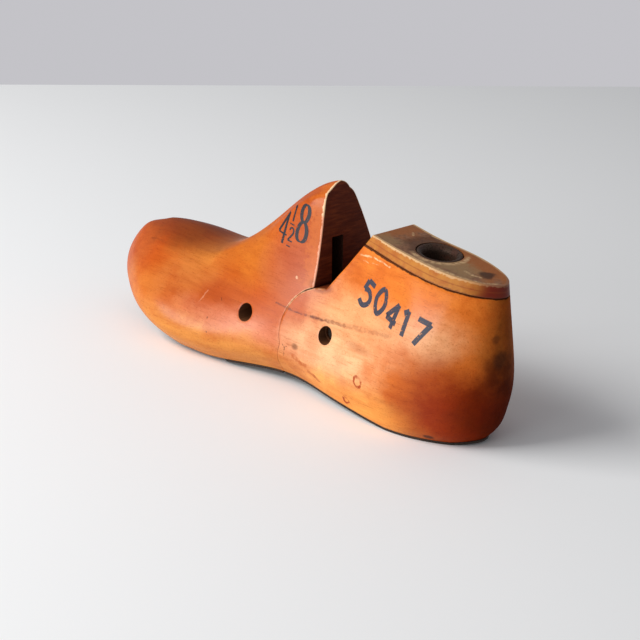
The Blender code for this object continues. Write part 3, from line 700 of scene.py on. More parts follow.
def make_stroke_group():
    """Mask of a scratch between two places."""
    inputs = {"Vector": NOWHERE, "From": NOWHERE, "To": NOWHERE, "Width": 0.0004}
    tree, given, wanted = new_group("stroke", inputs, ["Mask"])
    line = vector_calc(tree, "SUBTRACT", given["To"], given["From"])
    offset = vector_calc(tree, "SUBTRACT", given["Vector"], given["From"])
    share = calc(tree, "DIVIDE", vector_calc(tree, "DOT_PRODUCT", offset, line),
                 vector_calc(tree, "DOT_PRODUCT", line, line))
    share = add(tree, "ShaderNodeClamp", {"Value": share}).outputs[0]
    far = vector_calc(tree, "LENGTH", vector_calc(tree, "SUBTRACT", offset, scaled(tree, line, share)))
    tree.links.new(near(tree, calc(tree, "DIVIDE", far, given["Width"]), 0.4, 1.2), wanted["Mask"])
    return tree


def make_worn_edge_group():
    """Mask of what lies near a plane, as a worn edge does, ragged by a noise."""
    inputs = {"Vector": NOWHERE, "Point": NOWHERE, "Normal": (1, 0, 0), "Width": 0.0006, "Ragged": 0.0}
    tree, given, wanted = new_group("worn_edge", inputs, ["Mask"])
    offset = vector_calc(tree, "SUBTRACT", given["Vector"], given["Point"])
    far = calc(tree, "ABSOLUTE", vector_calc(tree, "DOT_PRODUCT", offset, given["Normal"]))
    share = calc(tree, "ADD", calc(tree, "DIVIDE", far, given["Width"]), given["Ragged"])
    tree.links.new(near(tree, share, 0.6, 1.3), wanted["Mask"])
    return tree


def make_grain_group():
    """Maple's grain along the last: fine pores, broader streaks and clouds."""
    tree, given, wanted = new_group("grain", {"Vector": NOWHERE}, ["Streaks", "Pores", "Cloud"])
    broad = mapped(tree, given["Vector"], (0.10, 1.0, 1.0), (0.0, 0.06, 0.0))
    fine = mapped(tree, given["Vector"], (0.055, 1.0, 1.0), (0.0, 0.04, 0.0))
    tree.links.new(speckle(tree, broad, 420.0, 4.0, 0.6), wanted["Streaks"])
    tree.links.new(speckle(tree, fine, 2600.0, 2.0, 0.5), wanted["Pores"])
    tree.links.new(speckle(tree, given["Vector"], 60.0, 5.0, 0.6), wanted["Cloud"])
    return tree


BLOT = make_blot_group()
STROKE = make_stroke_group()
WORN_EDGE = make_worn_edge_group()
GRAIN = make_grain_group()


def new_material(name):
    """A material, its nodes, its shader and the place on the piece."""
    made = bpy.data.materials.new(name)
    made.use_nodes = True
    tree = made.node_tree
    spot = add(tree, "ShaderNodeTexCoord").outputs["Object"]
    return made, tree, tree.nodes["Principled BSDF"], spot


def colour(*shown):
    """A colour given as it shows on a screen, as linear light."""
    light = [c / 255 / 12.92 if c < 11 else ((c / 255 + 0.055) / 1.055) ** 2.4 for c in shown]
    return (*light, 1.0)


ORANGE = colour(180, 82, 20)
AMBER = colour(186, 102, 30)
GOLD = colour(206, 134, 62)
YELLOW = colour(234, 158, 72)
TAWNY = colour(210, 116, 42)
RUST = colour(168, 76, 26)
ROSE = colour(170, 84, 50)
BROWN = colour(124, 52, 14)
MAHOGANY = colour(148, 44, 2)
OXBLOOD = colour(104, 26, 2)
DARK = colour(54, 12, 1)
PEACH = colour(230, 178, 132)
CREAM = colour(236, 200, 156)
PINK = colour(240, 174, 142)
BRUISE = colour(92, 42, 26)
# Near black, for soot and dirt in the marks, and also for painted shadow in the joint's gap
SOOT_AND_SHADE = colour(58, 30, 18)
# Colour, how much, centre (along, across, up), reach and softness of the finish's blots and of the
# painted highlights and shade, in the order laid
BLOTS = (
    (TAWNY, 0.96, (0.034, 0.000, 0.045), (0.046, 0.120, 0.034), 0.4),
    (AMBER, 0.85, (0.138, -0.010, 0.052), (0.030, 0.040, 0.013), 0.6),
    (RUST, 0.70, (0.140, -0.026, 0.031), (0.026, 0.060, 0.007), 0.6),
    (ROSE, 0.75, (0.101, -0.018, 0.052), (0.016, 0.050, 0.014), 0.6),
    (RUST, 0.75, (0.097, -0.012, 0.074), (0.014, 0.040, 0.010), 0.6),
    (RUST, 0.70, (0.207, -0.010, 0.038), (0.020, 0.040, 0.016), 0.6),
    (GOLD, 0.42, (0.158, -0.022, 0.040), (0.016, 0.040, 0.008), 0.8),
    (BROWN, 0.85, (0.180, -0.004, 0.050), (0.030, 0.030, 0.011), 0.5),
    # Painted highlight: the window's sheen along the lower inner flank, laid over paler worn shellac
    (PINK, 0.36, (0.119, -0.031, 0.0210), (0.036, 0.060, 0.0055), 0.8),
    (GOLD, 0.35, (0.180, -0.036, 0.022), (0.020, 0.030, 0.009), 0.7),
    (GOLD, 0.85, (0.140, 0.000, 0.004), (0.070, 0.120, 0.0155), 0.5),
    (RUST, 0.50, (0.027, -0.024, 0.036), (0.020, 0.060, 0.016), 0.8),
    (PEACH, 0.86, (0.070, -0.026, 0.022), (0.022, 0.060, 0.011), 0.8),
    (PEACH, 0.50, (0.056, -0.024, 0.040), (0.026, 0.060, 0.012), 0.6),
    # Painted highlight: the window's sheen on the heel's inner side
    (PEACH, 0.55, (0.021, -0.020, 0.047), (0.011, 0.020, 0.008), 0.8),
    (YELLOW, 0.80, (0.058, 0.000, 0.005), (0.040, 0.120, 0.012), 0.5),
    (MAHOGANY, 0.97, (0.006, -0.012, 0.013), (0.026, 0.060, 0.020), 0.6),
    (DARK, 0.80, (-0.002, 0.000, 0.014), (0.013, 0.040, 0.018), 0.8),
    (DARK, 0.94, (-0.006, 0.010, 0.058), (0.0115, 0.030, 0.040), 0.6),
    # Painted shade on the heel block's ledge at the foot of the V, under the forepart's sawn face
    (BROWN, 0.85, (0.0850, 0.000, 0.0485), (0.0060, 0.060, 0.0024), 0.4),
    (SOOT_AND_SHADE, 0.55, (0.0905, -0.027, 0.0215), (0.0016, 0.004, 0.0013), 0.5),
    (BROWN, 0.35, (0.055, -0.0255, 0.032), (0.007, 0.006, 0.0016), 0.6),
    (SOOT_AND_SHADE, 0.80, (0.0216, -0.0175, 0.0032), (0.0022, 0.005, 0.0010), 0.3),
    (SOOT_AND_SHADE, 0.50, (0.0024, -0.0052, 0.0478), (0.0012, 0.002, 0.0018), 0.4),
    (SOOT_AND_SHADE, 0.60, (0.0010, -0.0033, 0.0394), (0.0014, 0.003, 0.0032), 0.5),
)
# Colour, how much, width and the places that a scratch runs through
SCRATCHES = (
    (BRUISE, 0.70, 0.0005,
     ((0.1060, -0.0240, 0.0358), (0.0935, -0.0235, 0.0352), (0.0775, -0.0225, 0.0362))),
    (BRUISE, 0.55, 0.0009, ((0.0855, -0.0228, 0.0356), (0.0663, -0.0224, 0.0374))),
    (BRUISE, 0.30, 0.0012, ((0.0663, -0.0224, 0.0378), (0.0397, -0.0245, 0.0418))),
    (SOOT_AND_SHADE, 0.90, 0.0003,
     ((0.0972, -0.0274, 0.0206), (0.0961, -0.0273, 0.0196), (0.0963, -0.0270, 0.0158))),
    (SOOT_AND_SHADE, 0.90, 0.0003, ((0.0961, -0.0273, 0.0196), (0.0951, -0.0272, 0.0203))),
    (RUST, 0.60, 0.0013,
     ((0.0909, -0.0269, 0.0173), (0.0870, -0.0267, 0.0152), (0.0841, -0.0264, 0.0153))),
    (RUST, 0.60, 0.0014,
     ((0.0826, -0.0256, 0.0126), (0.0800, -0.0252, 0.0116), (0.0773, -0.0247, 0.0100))),
    (CREAM, 0.20, 0.0004, ((0.1444, -0.0282, 0.0310), (0.1462, -0.0317, 0.0257))),
    (SOOT_AND_SHADE, 0.60, 0.0004, ((0.1365, -0.0278, 0.0306), (0.1350, -0.0280, 0.0290))),
    (SOOT_AND_SHADE, 0.80, 0.0004, ((0.1395, -0.0327, 0.0210), (0.1393, -0.0329, 0.0206))),
    (SOOT_AND_SHADE, 0.80, 0.0004, ((0.1377, -0.0346, 0.0154), (0.1376, -0.0347, 0.0150))),
    (BROWN, 0.60, 0.0007, ((0.1942, -0.0195, 0.0401), (0.1813, -0.0213, 0.0416))),
    (CREAM, 0.60, 0.0004,
     ((0.0680, -0.0137, 0.0657), (0.0597, -0.0143, 0.0668), (0.0499, -0.0159, 0.0662))),
    (CREAM, 0.45, 0.0003, ((0.0660, -0.0141, 0.0640), (0.0540, -0.0152, 0.0650))),
    (CREAM, 0.90, 0.0006, ((0.0980, -0.0198, 0.0488), (0.0978, -0.0198, 0.0486))),
)
# Centre and radius of the two ring-shaped dents
RINGS = (((0.0522, -0.0284, 0.0192), 0.0022), ((0.0614, -0.0245, 0.0069), 0.0016))
WANDER = 0.0016              # how far a scratch wanders
# Each of these sets in from the first place, along or up, to the second: the bare wood and the painted
# shadow in the open end of the joint's arc, the dirt under the top piece and in its open front, the thin
# coat behind
ARC_BARE_UPS = (0.031, 0.039)
ARC_GAP_SHADOW_UPS = (0.0425, 0.0450)
DIRT_ALONGS = (0.080, 0.076)
DIRT_OPEN_ALONGS = (0.030, 0.056)
COAT_ALONGS = (0.026, 0.004)
# Colour, width, how much and lowest height of the wear along the sawn face's edge
FACE_WEAR = (
    (TAWNY, 0.0060, 0.3, FACE_UP),
    (PINK, 0.0007, 0.8, FACE_UP),
    (CREAM, 0.0008, 0.9, 0.076),
)


def lay_scratches(tree, tone, spot, patchy, scratches):
    """A colour with scratches over it, and the mask of them all."""
    dents = None
    for over, amount, width, path in scratches:
        for start, end in zip(path, path[1:]):
            mask = masked(tree, STROKE, spot, From=place(*start), To=place(*end), Width=width)
            mask = calc(tree, "MULTIPLY", mask, patchy)
            tone = laid(tree, over, tone, mask, amount)
            dents = mask if dents is None else calc(tree, "MAXIMUM", dents, mask)
    return tone, dents


def make_shellac():
    """Stained and shellacked maple, with all that has worn and marked it, and painted highlights and
    shade.
    """
    finish, tree, shader, spot = new_material("shellacked_maple")
    grain = add(tree, "ShaderNodeGroup", {"Vector": spot}, node_tree=GRAIN).outputs
    fine = speckle(tree, spot, 420.0, 5.0, 0.65)
    ragged = band(tree, grain["Cloud"], 0.30, 0.70, -0.18, 0.18)
    tone = ORANGE
    for over, amount, centre, reach, soft in BLOTS:
        mask = masked(tree, BLOT, spot, Centre=place(*centre), Reach=reach, Soft=soft, Ragged=ragged)
        tone = laid(tree, over, tone, mask, amount)
    flecks = speckle(tree, spot, 1300.0, 3.0, 0.6)
    for pattern, low, high, tint in (
            (grain["Streaks"], 0.45, 0.72, (1.08, 1.12, 1.14, 1)),
            (grain["Streaks"], 0.50, 0.30, (0.92, 0.86, 0.80, 1)),
            (grain["Pores"], 0.58, 0.72, (0.80, 0.72, 0.66, 1)),
            (grain["Cloud"], 0.42, 0.66, (0.94, 0.84, 0.80, 1)),
            (flecks, 0.58, 0.68, (0.84, 0.76, 0.70, 1)),
            (flecks, 0.40, 0.30, (1.08, 1.14, 1.20, 1))):
        tone = tinted(tree, band(tree, pattern, low, high), tone, tint)

    # Scratches wander a little, and the finish is worn through in specks round the joint
    wobble = add(tree, "ShaderNodeTexNoise", {"Vector": spot, "Scale": 350.0, "Detail": 2.0})
    shift = vector_calc(tree, "SUBTRACT", wobble.outputs["Color"], (0.5, 0.5, 0.5))
    wandering = vector_calc(tree, "ADD", spot, scaled(tree, shift, WANDER))
    patchy = band(tree, fine, 0.36, 0.56, 0.25, 1.0)
    tone, dents = lay_scratches(tree, tone, wandering, patchy, SCRATCHES)
    for centre, radius in RINGS:
        off = off_by(tree, vector_calc(tree, "DISTANCE", wandering, place(*centre)), radius)
        tone = laid(tree, MAHOGANY, tone, near(tree, off, 0.0002, 0.0008), patchy, 0.9)

    # Bare wood along the joint's arc, with painted shadow in its open end where it meets the V
    offset = vector_calc(tree, "SUBTRACT", spot, place(LOBE_ALONG, 0, LOBE_UP))
    out = vector_calc(tree, "LENGTH", vector_calc(tree, "MULTIPLY", offset, (1, 0, 1)))
    off = off_by(tree, out, LOBE_RADIUS)
    height = add(tree, "ShaderNodeSeparateXYZ", {"Vector": spot}).outputs["Z"]
    ahead = band_along(tree, spot, LOBE_ALONG, LOBE_ALONG + 0.004)
    on_arc = near(tree, off, 0.0002, 0.0007)
    tone = laid(tree, CREAM, tone, on_arc, band(tree, height, *ARC_BARE_UPS), ahead, patchy, 0.65)
    on_arc = near(tree, off, 0.0001, 0.0005)
    tone = laid(tree, SOOT_AND_SHADE, tone, on_arc, band(tree, height, *ARC_GAP_SHADOW_UPS), ahead)

    # The sawn face's edge is worn pale and, at the ridge, to bare wood
    scuffs = band(tree, fine, 0.3, 0.7, -0.5, 0.5)
    for over, width, amount, start in FACE_WEAR:
        mask = masked(tree, WORN_EDGE, spot, Point=place(FACE_ALONG, 0, FACE_UP), Width=width,
                      Normal=(-math.cos(FACE_LEAN), 0, -math.sin(FACE_LEAN)), Ragged=scuffs)
        tone = laid(tree, over, tone, mask, band(tree, height, start - 0.001, start + 0.001), amount)

    # Dirt in the gap under the top piece, which is open at the front
    open_front = band_along(tree, spot, *DIRT_OPEN_ALONGS, 0.0, -1.1)
    mask = masked(tree, WORN_EDGE, spot, Point=place(0, 0, TOP_UP - TOP_THICK - GAP), Width=0.00035,
                  Normal=TOP_NORMAL, Ragged=calc(tree, "ADD", scuffs, open_front))
    tone = laid(tree, SOOT_AND_SHADE, tone, mask, band_along(tree, spot, *DIRT_ALONGS), 0.9)

    # The shellac is thin at the heel's back, and the grain and the dents show through it
    bumps = calc(tree, "ADD", calc(tree, "MULTIPLY", grain["Pores"], 0.4), grain["Cloud"])
    bumps = calc(tree, "SUBTRACT", bumps, calc(tree, "MULTIPLY", dents, 0.8))
    fill(tree, shader, {"Base Color": tone, "Roughness": band(tree, grain["Cloud"], 0.3, 0.7, 0.36, 0.46),
                        "Specular IOR Level": 0.0, "Coat Roughness": 0.24,
                        "Coat Weight": band_along(tree, spot, *COAT_ALONGS, 0.45, 0.08),
                        "Normal": relief(tree, bumps, 0.15, 0.0004)})
    return finish


def make_sawn(name, tone, rough_tone):
    """Cut maple with the marks of the teeth: stained dark on sawn faces, bare in pin holes, painted shade
    in the slot and bores.
    """
    finish, tree, shader, spot = new_material(name)
    saw = speckle(tree, mapped(tree, spot, (1.0, 0.12, 1.0), (0.35, 0.0, 0.0)), 900.0, 4.0, 0.6)
    cloud = speckle(tree, spot, 110.0, 4.0, 0.6)
    shown = laid(tree, rough_tone, tone, band(tree, saw, 0.35, 0.75))
    shown = laid(tree, tone, shown, band(tree, cloud, 0.4, 0.7), 0.5)
    fill(tree, shader, {"Base Color": shown, "Roughness": 0.7, "Specular IOR Level": 0.2,
                        "Normal": relief(tree, saw, 0.35, 0.0004)})
    return finish


SHELLAC = make_shellac()
SAWN = make_sawn("sawn_maple", colour(88, 28, 5), colour(124, 54, 20))
# The slot and the thimble's bores get a far darker copy of the sawn wood: painted shade
SLOT_SHADE_WOOD = make_sawn("shaded_slot_maple", colour(40, 18, 8), colour(64, 34, 18))
BORED = make_sawn("bored_maple", colour(106, 66, 40), colour(76, 42, 24))


# Forepart. The toe and instep of the last, sawn off nearly upright, with the link's slot sawn into
# that face and the front pin's hole bored through from side to side.
FORE_COLUMNS = 170
EDGE_WEAR = 0.0004
SOLE_EDGE = 0.0004
REAR_PIN = (0.0754, 0.0308)
PIN_SPACING = 0.0456
PIN_DIP = math.radians(3.9)
PIN_HOLE = 0.0033
FRONT_PIN = (REAR_PIN[0] + PIN_SPACING * math.cos(PIN_DIP),
             REAR_PIN[1] - PIN_SPACING * math.sin(PIN_DIP))
SLOT = (-0.00875, -0.00225)  # inner and outer side of the link's slot
SAW_CENTRE = (0.09662, 0.0223)
SAW_RADIUS = 0.044
SAW_STEPS = 48
SLOT_FLOOR_UP = 0.0195
MOUTH_RADIUS = 0.0038        # the holes' empty mouths have worn wider
MOUTH_ACROSS = 0.0205        # up to this far from the centre line
RIM_REACH = 0.0007           # the rim of a pin's hole is rounded over this width
RIM_DEPTH = 0.00015
FINE_REACH = 0.0065          # the mesh is finer this near to a pin


def shape_sides(depth, from_toe, limits, heights, flat_below, flat_above, columns, seed, wear):
    """Rows of both sides of a block, with their lower and upper edges rounded onto flat faces."""
    blanks = []
    for side in SIDES:
        side = side if from_toe else side[:, ::-1]
        lows, highs = limits(side)
        whole = resample(side, lows, highs, np.linspace(0, 1, SIDE + 1))
        blanks.append((side, lows, highs, *marks_on_cut(whole, depth, heights)))
    spans = np.array([np.diff(marks) for *_, marks in blanks]).max(axis=0)
    counts = [max(2, round(span / ROW_STEP)) for span in spans]
    own = [shares_on_cut(run, marks, counts) for *_, run, marks in blanks]
    # The rows of the two sides meet at the far end
    away = np.interp(np.linspace(0, 1, SAMPLES + 1), (MEET_FROM, 1), (0, 1))[:, None]
    middle = np.array((LENGTH / 2, 0.0, 0.0))
    sides = []
    for (side, lows, highs, *_), mine in zip(blanks, own):
        shares = mine * (1 - away) + (own[0] + own[1]) / 2 * away
        if flat_above is None:
            shares = np.concatenate((shares, np.ones((len(shares), 1))), axis=1)
        rows = list(resample(side, lows, highs, shares))
        if flat_below is not None:
            corner = resample(side, lows, highs, np.array([0.0]))[0]
            radii = worn(len(corner), wear[0], seed + 1)
            rows = [*edge_rows(corner, rows[0], flat_below, middle, radii)[::-1], *rows]
        if flat_above is not None:
            corner = resample(side, lows, highs, np.array([1.0]))[0]
            radii = worn(len(corner), wear[1], seed + 2)
            rows = [*rows, *edge_rows(corner, rows[-1], flat_above, middle, radii)]
        rows = np.array(rows)
        cut_centre = cut_corners(rows, depth).mean(axis=0) * (1, 0, 1)
        sides.append(trim(rows, depth, cut_centre, columns, wear[2], seed))
    shared = (sides[0] + sides[1]) / 2
    for half in sides:
        half[:, -1] = shared[:, -1]
        if flat_above is None:
            half[-1] = shared[-1]
    return sides


def soften_rims(piece, pin):
    """Finer faces and a worn, rounded rim where a pin's hole comes out of each side."""
    axis = place(pin[0], 0, pin[1])
    shape = bmesh.new()
    shape.from_mesh(piece.data)

    def reach(spot):
        return math.hypot(spot.x - axis.x, spot.z - axis.z)

    edges = [edge for edge in shape.edges if all(reach(vert.co) < FINE_REACH for vert in edge.verts)
             and all(face.material_index == 0 for face in edge.link_faces)]
    bmesh.ops.subdivide_edges(shape, edges=edges, cuts=2, use_grid_fill=True, smooth=1.0)
    shape.normal_update()
    for vert in shape.verts:
        far = reach(vert.co) - MOUTH_RADIUS
        if far < RIM_REACH and all(face.material_index == 0 for face in vert.link_faces):
            share = 1 - max(far, 0) / RIM_REACH
            vert.co -= vert.normal * RIM_DEPTH * share * share
    shape.to_mesh(piece.data)
    shape.free()
    shade(piece.data)


def drills(pin):
    """Cutters for a pin's hole and for its worn mouths."""
    far = LENGTH / 2
    made = []
    for start, end, radius in (
            (-far, far, PIN_HOLE),
            (-far, -MOUTH_ACROSS, MOUTH_RADIUS),
            (MOUTH_ACROSS, far, MOUTH_RADIUS)):
        ends = [place(pin[0], across, pin[1]) for across in (start, end)]
        made.append(cutter("drill", rod(*ends, radius), BORED))
    return made


def whole_height(side):
    """From the sole up to the ridge, in samples."""
    return np.zeros(side.shape[1]), np.full(side.shape[1], float(SIDE))


fore_sides = shape_sides(before_face, True, whole_height, (LEG_UP, FACE_UP), (0, 0, 1), None,
                         FORE_COLUMNS, 3, (SOLE_EDGE, 0, EDGE_WEAR))
forepart = close_block("forepart_wood", fore_sides, False, [SHELLAC, SAWN, SLOT_SHADE_WOOD, BORED])
soften_rims(forepart, FRONT_PIN)
first = math.asin((SLOT_FLOOR_UP - SAW_CENTRE[1]) / SAW_RADIUS)
turns = np.linspace(first, math.pi / 2, SAW_STEPS + 1)
outline = [(LOBE_ALONG, SLOT_FLOOR_UP)]
for t in turns:
    outline.append((SAW_CENTRE[0] + SAW_RADIUS * math.cos(t), SAW_CENTRE[1] + SAW_RADIUS * math.sin(t)))
outline.append((LOBE_ALONG, SAW_CENTRE[1] + SAW_RADIUS))
cut_away(forepart, [cutter("saw", slab(outline, *SLOT), SLOT_SHADE_WOOD), *drills(FRONT_PIN)])
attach(forepart, "front_block")
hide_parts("forepart")


# Heel block. The heel and arch of the last, with the sloping sawn face and the round lobe that
# seats in the forepart, planed off on top for the top piece and bored for the thimble.
HEEL_COLUMNS = 140
HEEL_TOP_WEAR = 0.0007
SWING = math.radians(26.5)
SLOT_ROOM = 0.0075           # from the pin's line to the slot's floor
SLOT_STEPS = 32
THIMBLE_ALONG = 0.0383
THIMBLE_RADIUS = 0.0095
THIMBLE_BORE = 0.0066
THIMBLE_LENGTH = 0.040
BORE_REACH = 0.02            # its cutters run this far past the top piece's face
JACK_HOLE_LENGTH = 0.047


def plane_samples(side, drop):
    """Where each column of a side passes a plane that lies a drop below the top piece's face."""
    found = []
    for i in range(side.shape[1]):
        over = side[:, i, 2] - (top_up(side[:, i, 0]) - drop)
        found.append(crossing(over, 0.0) if over[-1] > 0 else float(SIDE))
    return np.array(found)


def on_link(forward, raised):
    """Along and up of a place forward of the rear pin and above the line through the pins."""
    return (REAR_PIN[0] + forward * math.cos(PIN_DIP) + raised * math.sin(PIN_DIP),
            REAR_PIN[1] - forward * math.sin(PIN_DIP) + raised * math.cos(PIN_DIP))


def up_to_plate(side):
    """From the sole up to the top piece's underside, in samples."""
    return np.zeros(side.shape[1]), plane_samples(side, TOP_THICK + GAP)


flat_top = (-TOP_NORMAL.x, 0, TOP_NORMAL.z)
heel_sides = shape_sides(behind_joint, False, up_to_plate, (LEG_UP, SLOPE_UP), (0, 0, 1), flat_top,
                         HEEL_COLUMNS, 5, (SOLE_EDGE, HEEL_TOP_WEAR, EDGE_WEAR))
heel_part = close_block("heel_wood", heel_sides, True, [SHELLAC, SAWN, SLOT_SHADE_WOOD, BORED])
soften_rims(heel_part, REAR_PIN)
turns = np.linspace(math.pi / 2 + SWING, math.pi * 1.5, SLOT_STEPS + 1)
outline = [on_link(SLOT_ROOM * math.cos(t), SLOT_ROOM * math.sin(t)) for t in turns]
outline += [on_link(PIN_SPACING, -SLOT_ROOM),
            on_link(PIN_SPACING, SLOT_ROOM / math.cos(SWING) + PIN_SPACING * math.tan(SWING))]
mouth = place(THIMBLE_ALONG, 0, top_up(THIMBLE_ALONG))
thimble_end = mouth - TOP_NORMAL * (THIMBLE_LENGTH + GAP)
thimble_hole = rod(mouth + TOP_NORMAL * BORE_REACH, thimble_end, THIMBLE_RADIUS + GAP)
jack_hole = rod(mouth, mouth - TOP_NORMAL * JACK_HOLE_LENGTH, THIMBLE_BORE)
cut_away(heel_part, [cutter("saw", slab(outline, *SLOT), SLOT_SHADE_WOOD), *drills(REAR_PIN),
                     cutter("bore", thimble_hole, SLOT_SHADE_WOOD),
                     cutter("jack_bore", jack_hole, SLOT_SHADE_WOOD)])
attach(heel_part, "heel_block")
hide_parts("heel_part")


# Top piece. Layers of hard leather glued and nailed on the heel block, planed flush with its sides
# and sawn with its slope. Its varnished side is amber, its top is grimy and its upper edge scuffed.
PLATE_COLUMNS = 120
PLATE_WEAR = (0.0003, 0.0010, 0.0007)  # of its lower, upper and sloping edges
CREAM_LEATHER = colour(202, 166, 122)
TAN = colour(146, 116, 80)
SIENNA = colour(154, 88, 40)
RING_RADIUS = 0.0113
RING_SIDE = (0.75, -0.66, 0.0)         # the bare ring lies on this side of the thimble
BACK_ALONGS = (0.014, 0.006)           # the side darkens between these
SCUFF_ALONGS = (0.004, 0.030)          # and its upper edge is scuffed more and more between these
# Colour, how much, centre and reach of the stains
TOP_BLOTS = (
    (SIENNA, 0.85, (0.016, 0.006, 0.070), (0.022, 0.010, 0.010)),
    (SIENNA, 0.70, (0.062, 0.003, 0.075), (0.008, 0.012, 0.006)),
    (TAN, 0.80, (0.025, -0.005, 0.071), (0.010, 0.007, 0.006)),
    (TAN, 0.60, (0.056, -0.009, 0.074), (0.006, 0.004, 0.006)),
    (SOOT_AND_SHADE, 0.60, (0.048, 0.000, 0.073), (0.006, 0.010, 0.006)),
    (SOOT_AND_SHADE, 0.85, (0.0135, 0.000, 0.070), (0.0028, 0.0030, 0.004)),
)
# Colour, how much, width and the places that a scuff runs through
TOP_SCUFFS = (
    (CREAM_LEATHER, 0.9, 0.0015,
     ((0.0600, -0.0135, 0.0745), (0.0480, -0.0140, 0.0733), (0.0310, -0.0138, 0.0715),
      (0.0180, -0.0118, 0.0702), (0.0090, -0.0080, 0.0693), (0.0050, -0.0030, 0.0689))),
    (CREAM_LEATHER, 0.8, 0.0008,
     ((0.0205, -0.0050, 0.0705), (0.0165, -0.0052, 0.0700), (0.0135, -0.0042, 0.0698))),
    (CREAM_LEATHER, 0.7, 0.0007, ((0.0510, 0.0098, 0.0736), (0.0470, 0.0102, 0.0732))),
    (CREAM_LEATHER, 0.6, 0.0006, ((0.0575, 0.0050, 0.0742), (0.0555, 0.0030, 0.0740))),
)


def make_leather_side():
    """Varnished amber, dark at the heel's back, with its upper edge scuffed pale."""
    finish, tree, shader, spot = new_material("varnished_leather")
    cloud = speckle(tree, spot, 220.0, 5.0, 0.6)
    fine = speckle(tree, spot, 700.0, 4.0, 0.6)
    shown = laid(tree, colour(160, 88, 30), colour(176, 112, 42), band(tree, cloud, 0.35, 0.7))
    shown = laid(tree, OXBLOOD, shown, band_along(tree, spot, *BACK_ALONGS))
    scuffs = band(tree, fine, 0.3, 0.7, -0.5, 0.5)
    fading = band_along(tree, spot, *SCUFF_ALONGS, 0.25, 0.8)
    for over, drop, width, amount in (
            (CREAM_LEATHER, 0, 0.0007, fading), (BRUISE, 1, 0.0004, 0.6), (BROWN, 0.55, 0.0002, 0.5)):
        mask = masked(tree, WORN_EDGE, spot, Point=place(0, 0, TOP_UP - TOP_THICK * drop), Width=width,
                      Normal=TOP_NORMAL, Ragged=scuffs)
        shown = laid(tree, over, shown, mask, amount)
    fill(tree, shader, {"Base Color": shown, "Roughness": 0.42, "Specular IOR Level": 0.25,
                        "Normal": relief(tree, fine, 0.2, 0.0003)})
    return finish


def make_leather_top():
    """Grimy round the thimble and brown beyond, with pale scuffs and a ring of bare leather."""
    finish, tree, shader, spot = new_material("grimy_leather")
    cloud = speckle(tree, spot, 160.0, 5.0, 0.6)
    fine = speckle(tree, spot, 700.0, 4.0, 0.6)
    ragged = band(tree, cloud, 0.3, 0.7, -0.5, 0.5)
    shown = laid(tree, colour(108, 74, 54), colour(136, 96, 70), band(tree, fine, 0.35, 0.7))
    for over, amount, centre, reach in TOP_BLOTS:
        mask = masked(tree, BLOT, spot, Centre=place(*centre), Reach=reach, Soft=0.5, Ragged=ragged)
        shown = laid(tree, over, shown, mask, amount)
    patchy = band(tree, fine, 0.38, 0.60, 0.1, 1.0)
    offset = vector_calc(tree, "SUBTRACT", spot, place(THIMBLE_ALONG, 0, top_up(THIMBLE_ALONG)))
    off = off_by(tree, vector_calc(tree, "LENGTH", offset), RING_RADIUS)
    side = band(tree, vector_calc(tree, "DOT_PRODUCT", offset, RING_SIDE), 0.0, 0.004)
    shown = laid(tree, CREAM_LEATHER, shown, near(tree, off, 0.0004, 0.0016), side, patchy, 0.85)
    shown = lay_scratches(tree, shown, spot, patchy, TOP_SCUFFS)[0]
    fill(tree, shader, {"Base Color": shown, "Roughness": 0.55, "Specular IOR Level": 0.25,
                        "Normal": relief(tree, fine, 0.3, 0.0004)})
    return finish


LEATHER_SIDE = make_leather_side()
LEATHER_TOP = make_leather_top()


def through_plate(side):
    """Between the top piece's two faces, in samples."""
    return plane_samples(side, TOP_THICK), plane_samples(side, 0)


plate_sides = shape_sides(behind_slope, False, through_plate, (), flat_top, flat_top,
                          PLATE_COLUMNS, 8, PLATE_WEAR)
top_plate = close_block("top_leather", plate_sides, True, [LEATHER_SIDE, LEATHER_TOP])
through = TOP_NORMAL * BORE_REACH
thimble_hole = rod(mouth + through, mouth - through, THIMBLE_RADIUS + GAP)
cut_away(top_plate, [cutter("bore", thimble_hole, LEATHER_TOP)])
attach(top_plate, "heel_block")
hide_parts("top_plate")


# Thimble. A thick steel tube driven into the heel block through the top piece, with a rolled mouth
# that guides the pin of the lasting jack. Handling has left it brown and dull.
THIMBLE_STEPS = 96
THIMBLE_SHOULDER = 0.0009    # the rolled mouth's outer side starts this far down
MOUTH_PROFILE = ((0.0, 0.0026), (0.0001, 0.0018), (0.0005, 0.0010), (0.0011, 0.0004), (0.0017, 0.0001),
                 (0.0021, 0.0), (0.0025, 0.0001), (0.0028, 0.0005))


def make_steel(name, tone, rust, grime):
    """Old steel: a dull tone, rust in patches and grime in its pits."""
    finish, tree, shader, spot = new_material(name)
    cloud = speckle(tree, spot, 260.0, 5.0, 0.6)
    pits = speckle(tree, spot, 1500.0, 3.0, 0.6)
    shown = laid(tree, rust, tone, band(tree, cloud, 0.40, 0.62))
    shown = laid(tree, grime, shown, band(tree, pits, 0.52, 0.70))
    fill(tree, shader, {"Base Color": shown, "Metallic": band(tree, cloud, 0.35, 0.7, 0.75, 0.15),
                        "Roughness": band(tree, pits, 0.3, 0.7, 0.36, 0.70),
                        "Normal": relief(tree, pits, 0.3, 0.0002)})
    return finish


THIMBLE_STEEL = make_steel("thimble_steel", colour(88, 68, 56), colour(72, 44, 32),
                           colour(38, 26, 20))
PLATE_STEEL = make_steel("plate_steel", colour(60, 52, 46), colour(52, 36, 26), colour(28, 20, 16))
LINK_STEEL = make_steel("link_steel", colour(62, 54, 46), colour(56, 38, 28), colour(32, 24, 20))
NAIL_STEEL = make_steel("nail_steel", colour(70, 58, 48), colour(56, 38, 28), colour(30, 22, 18))


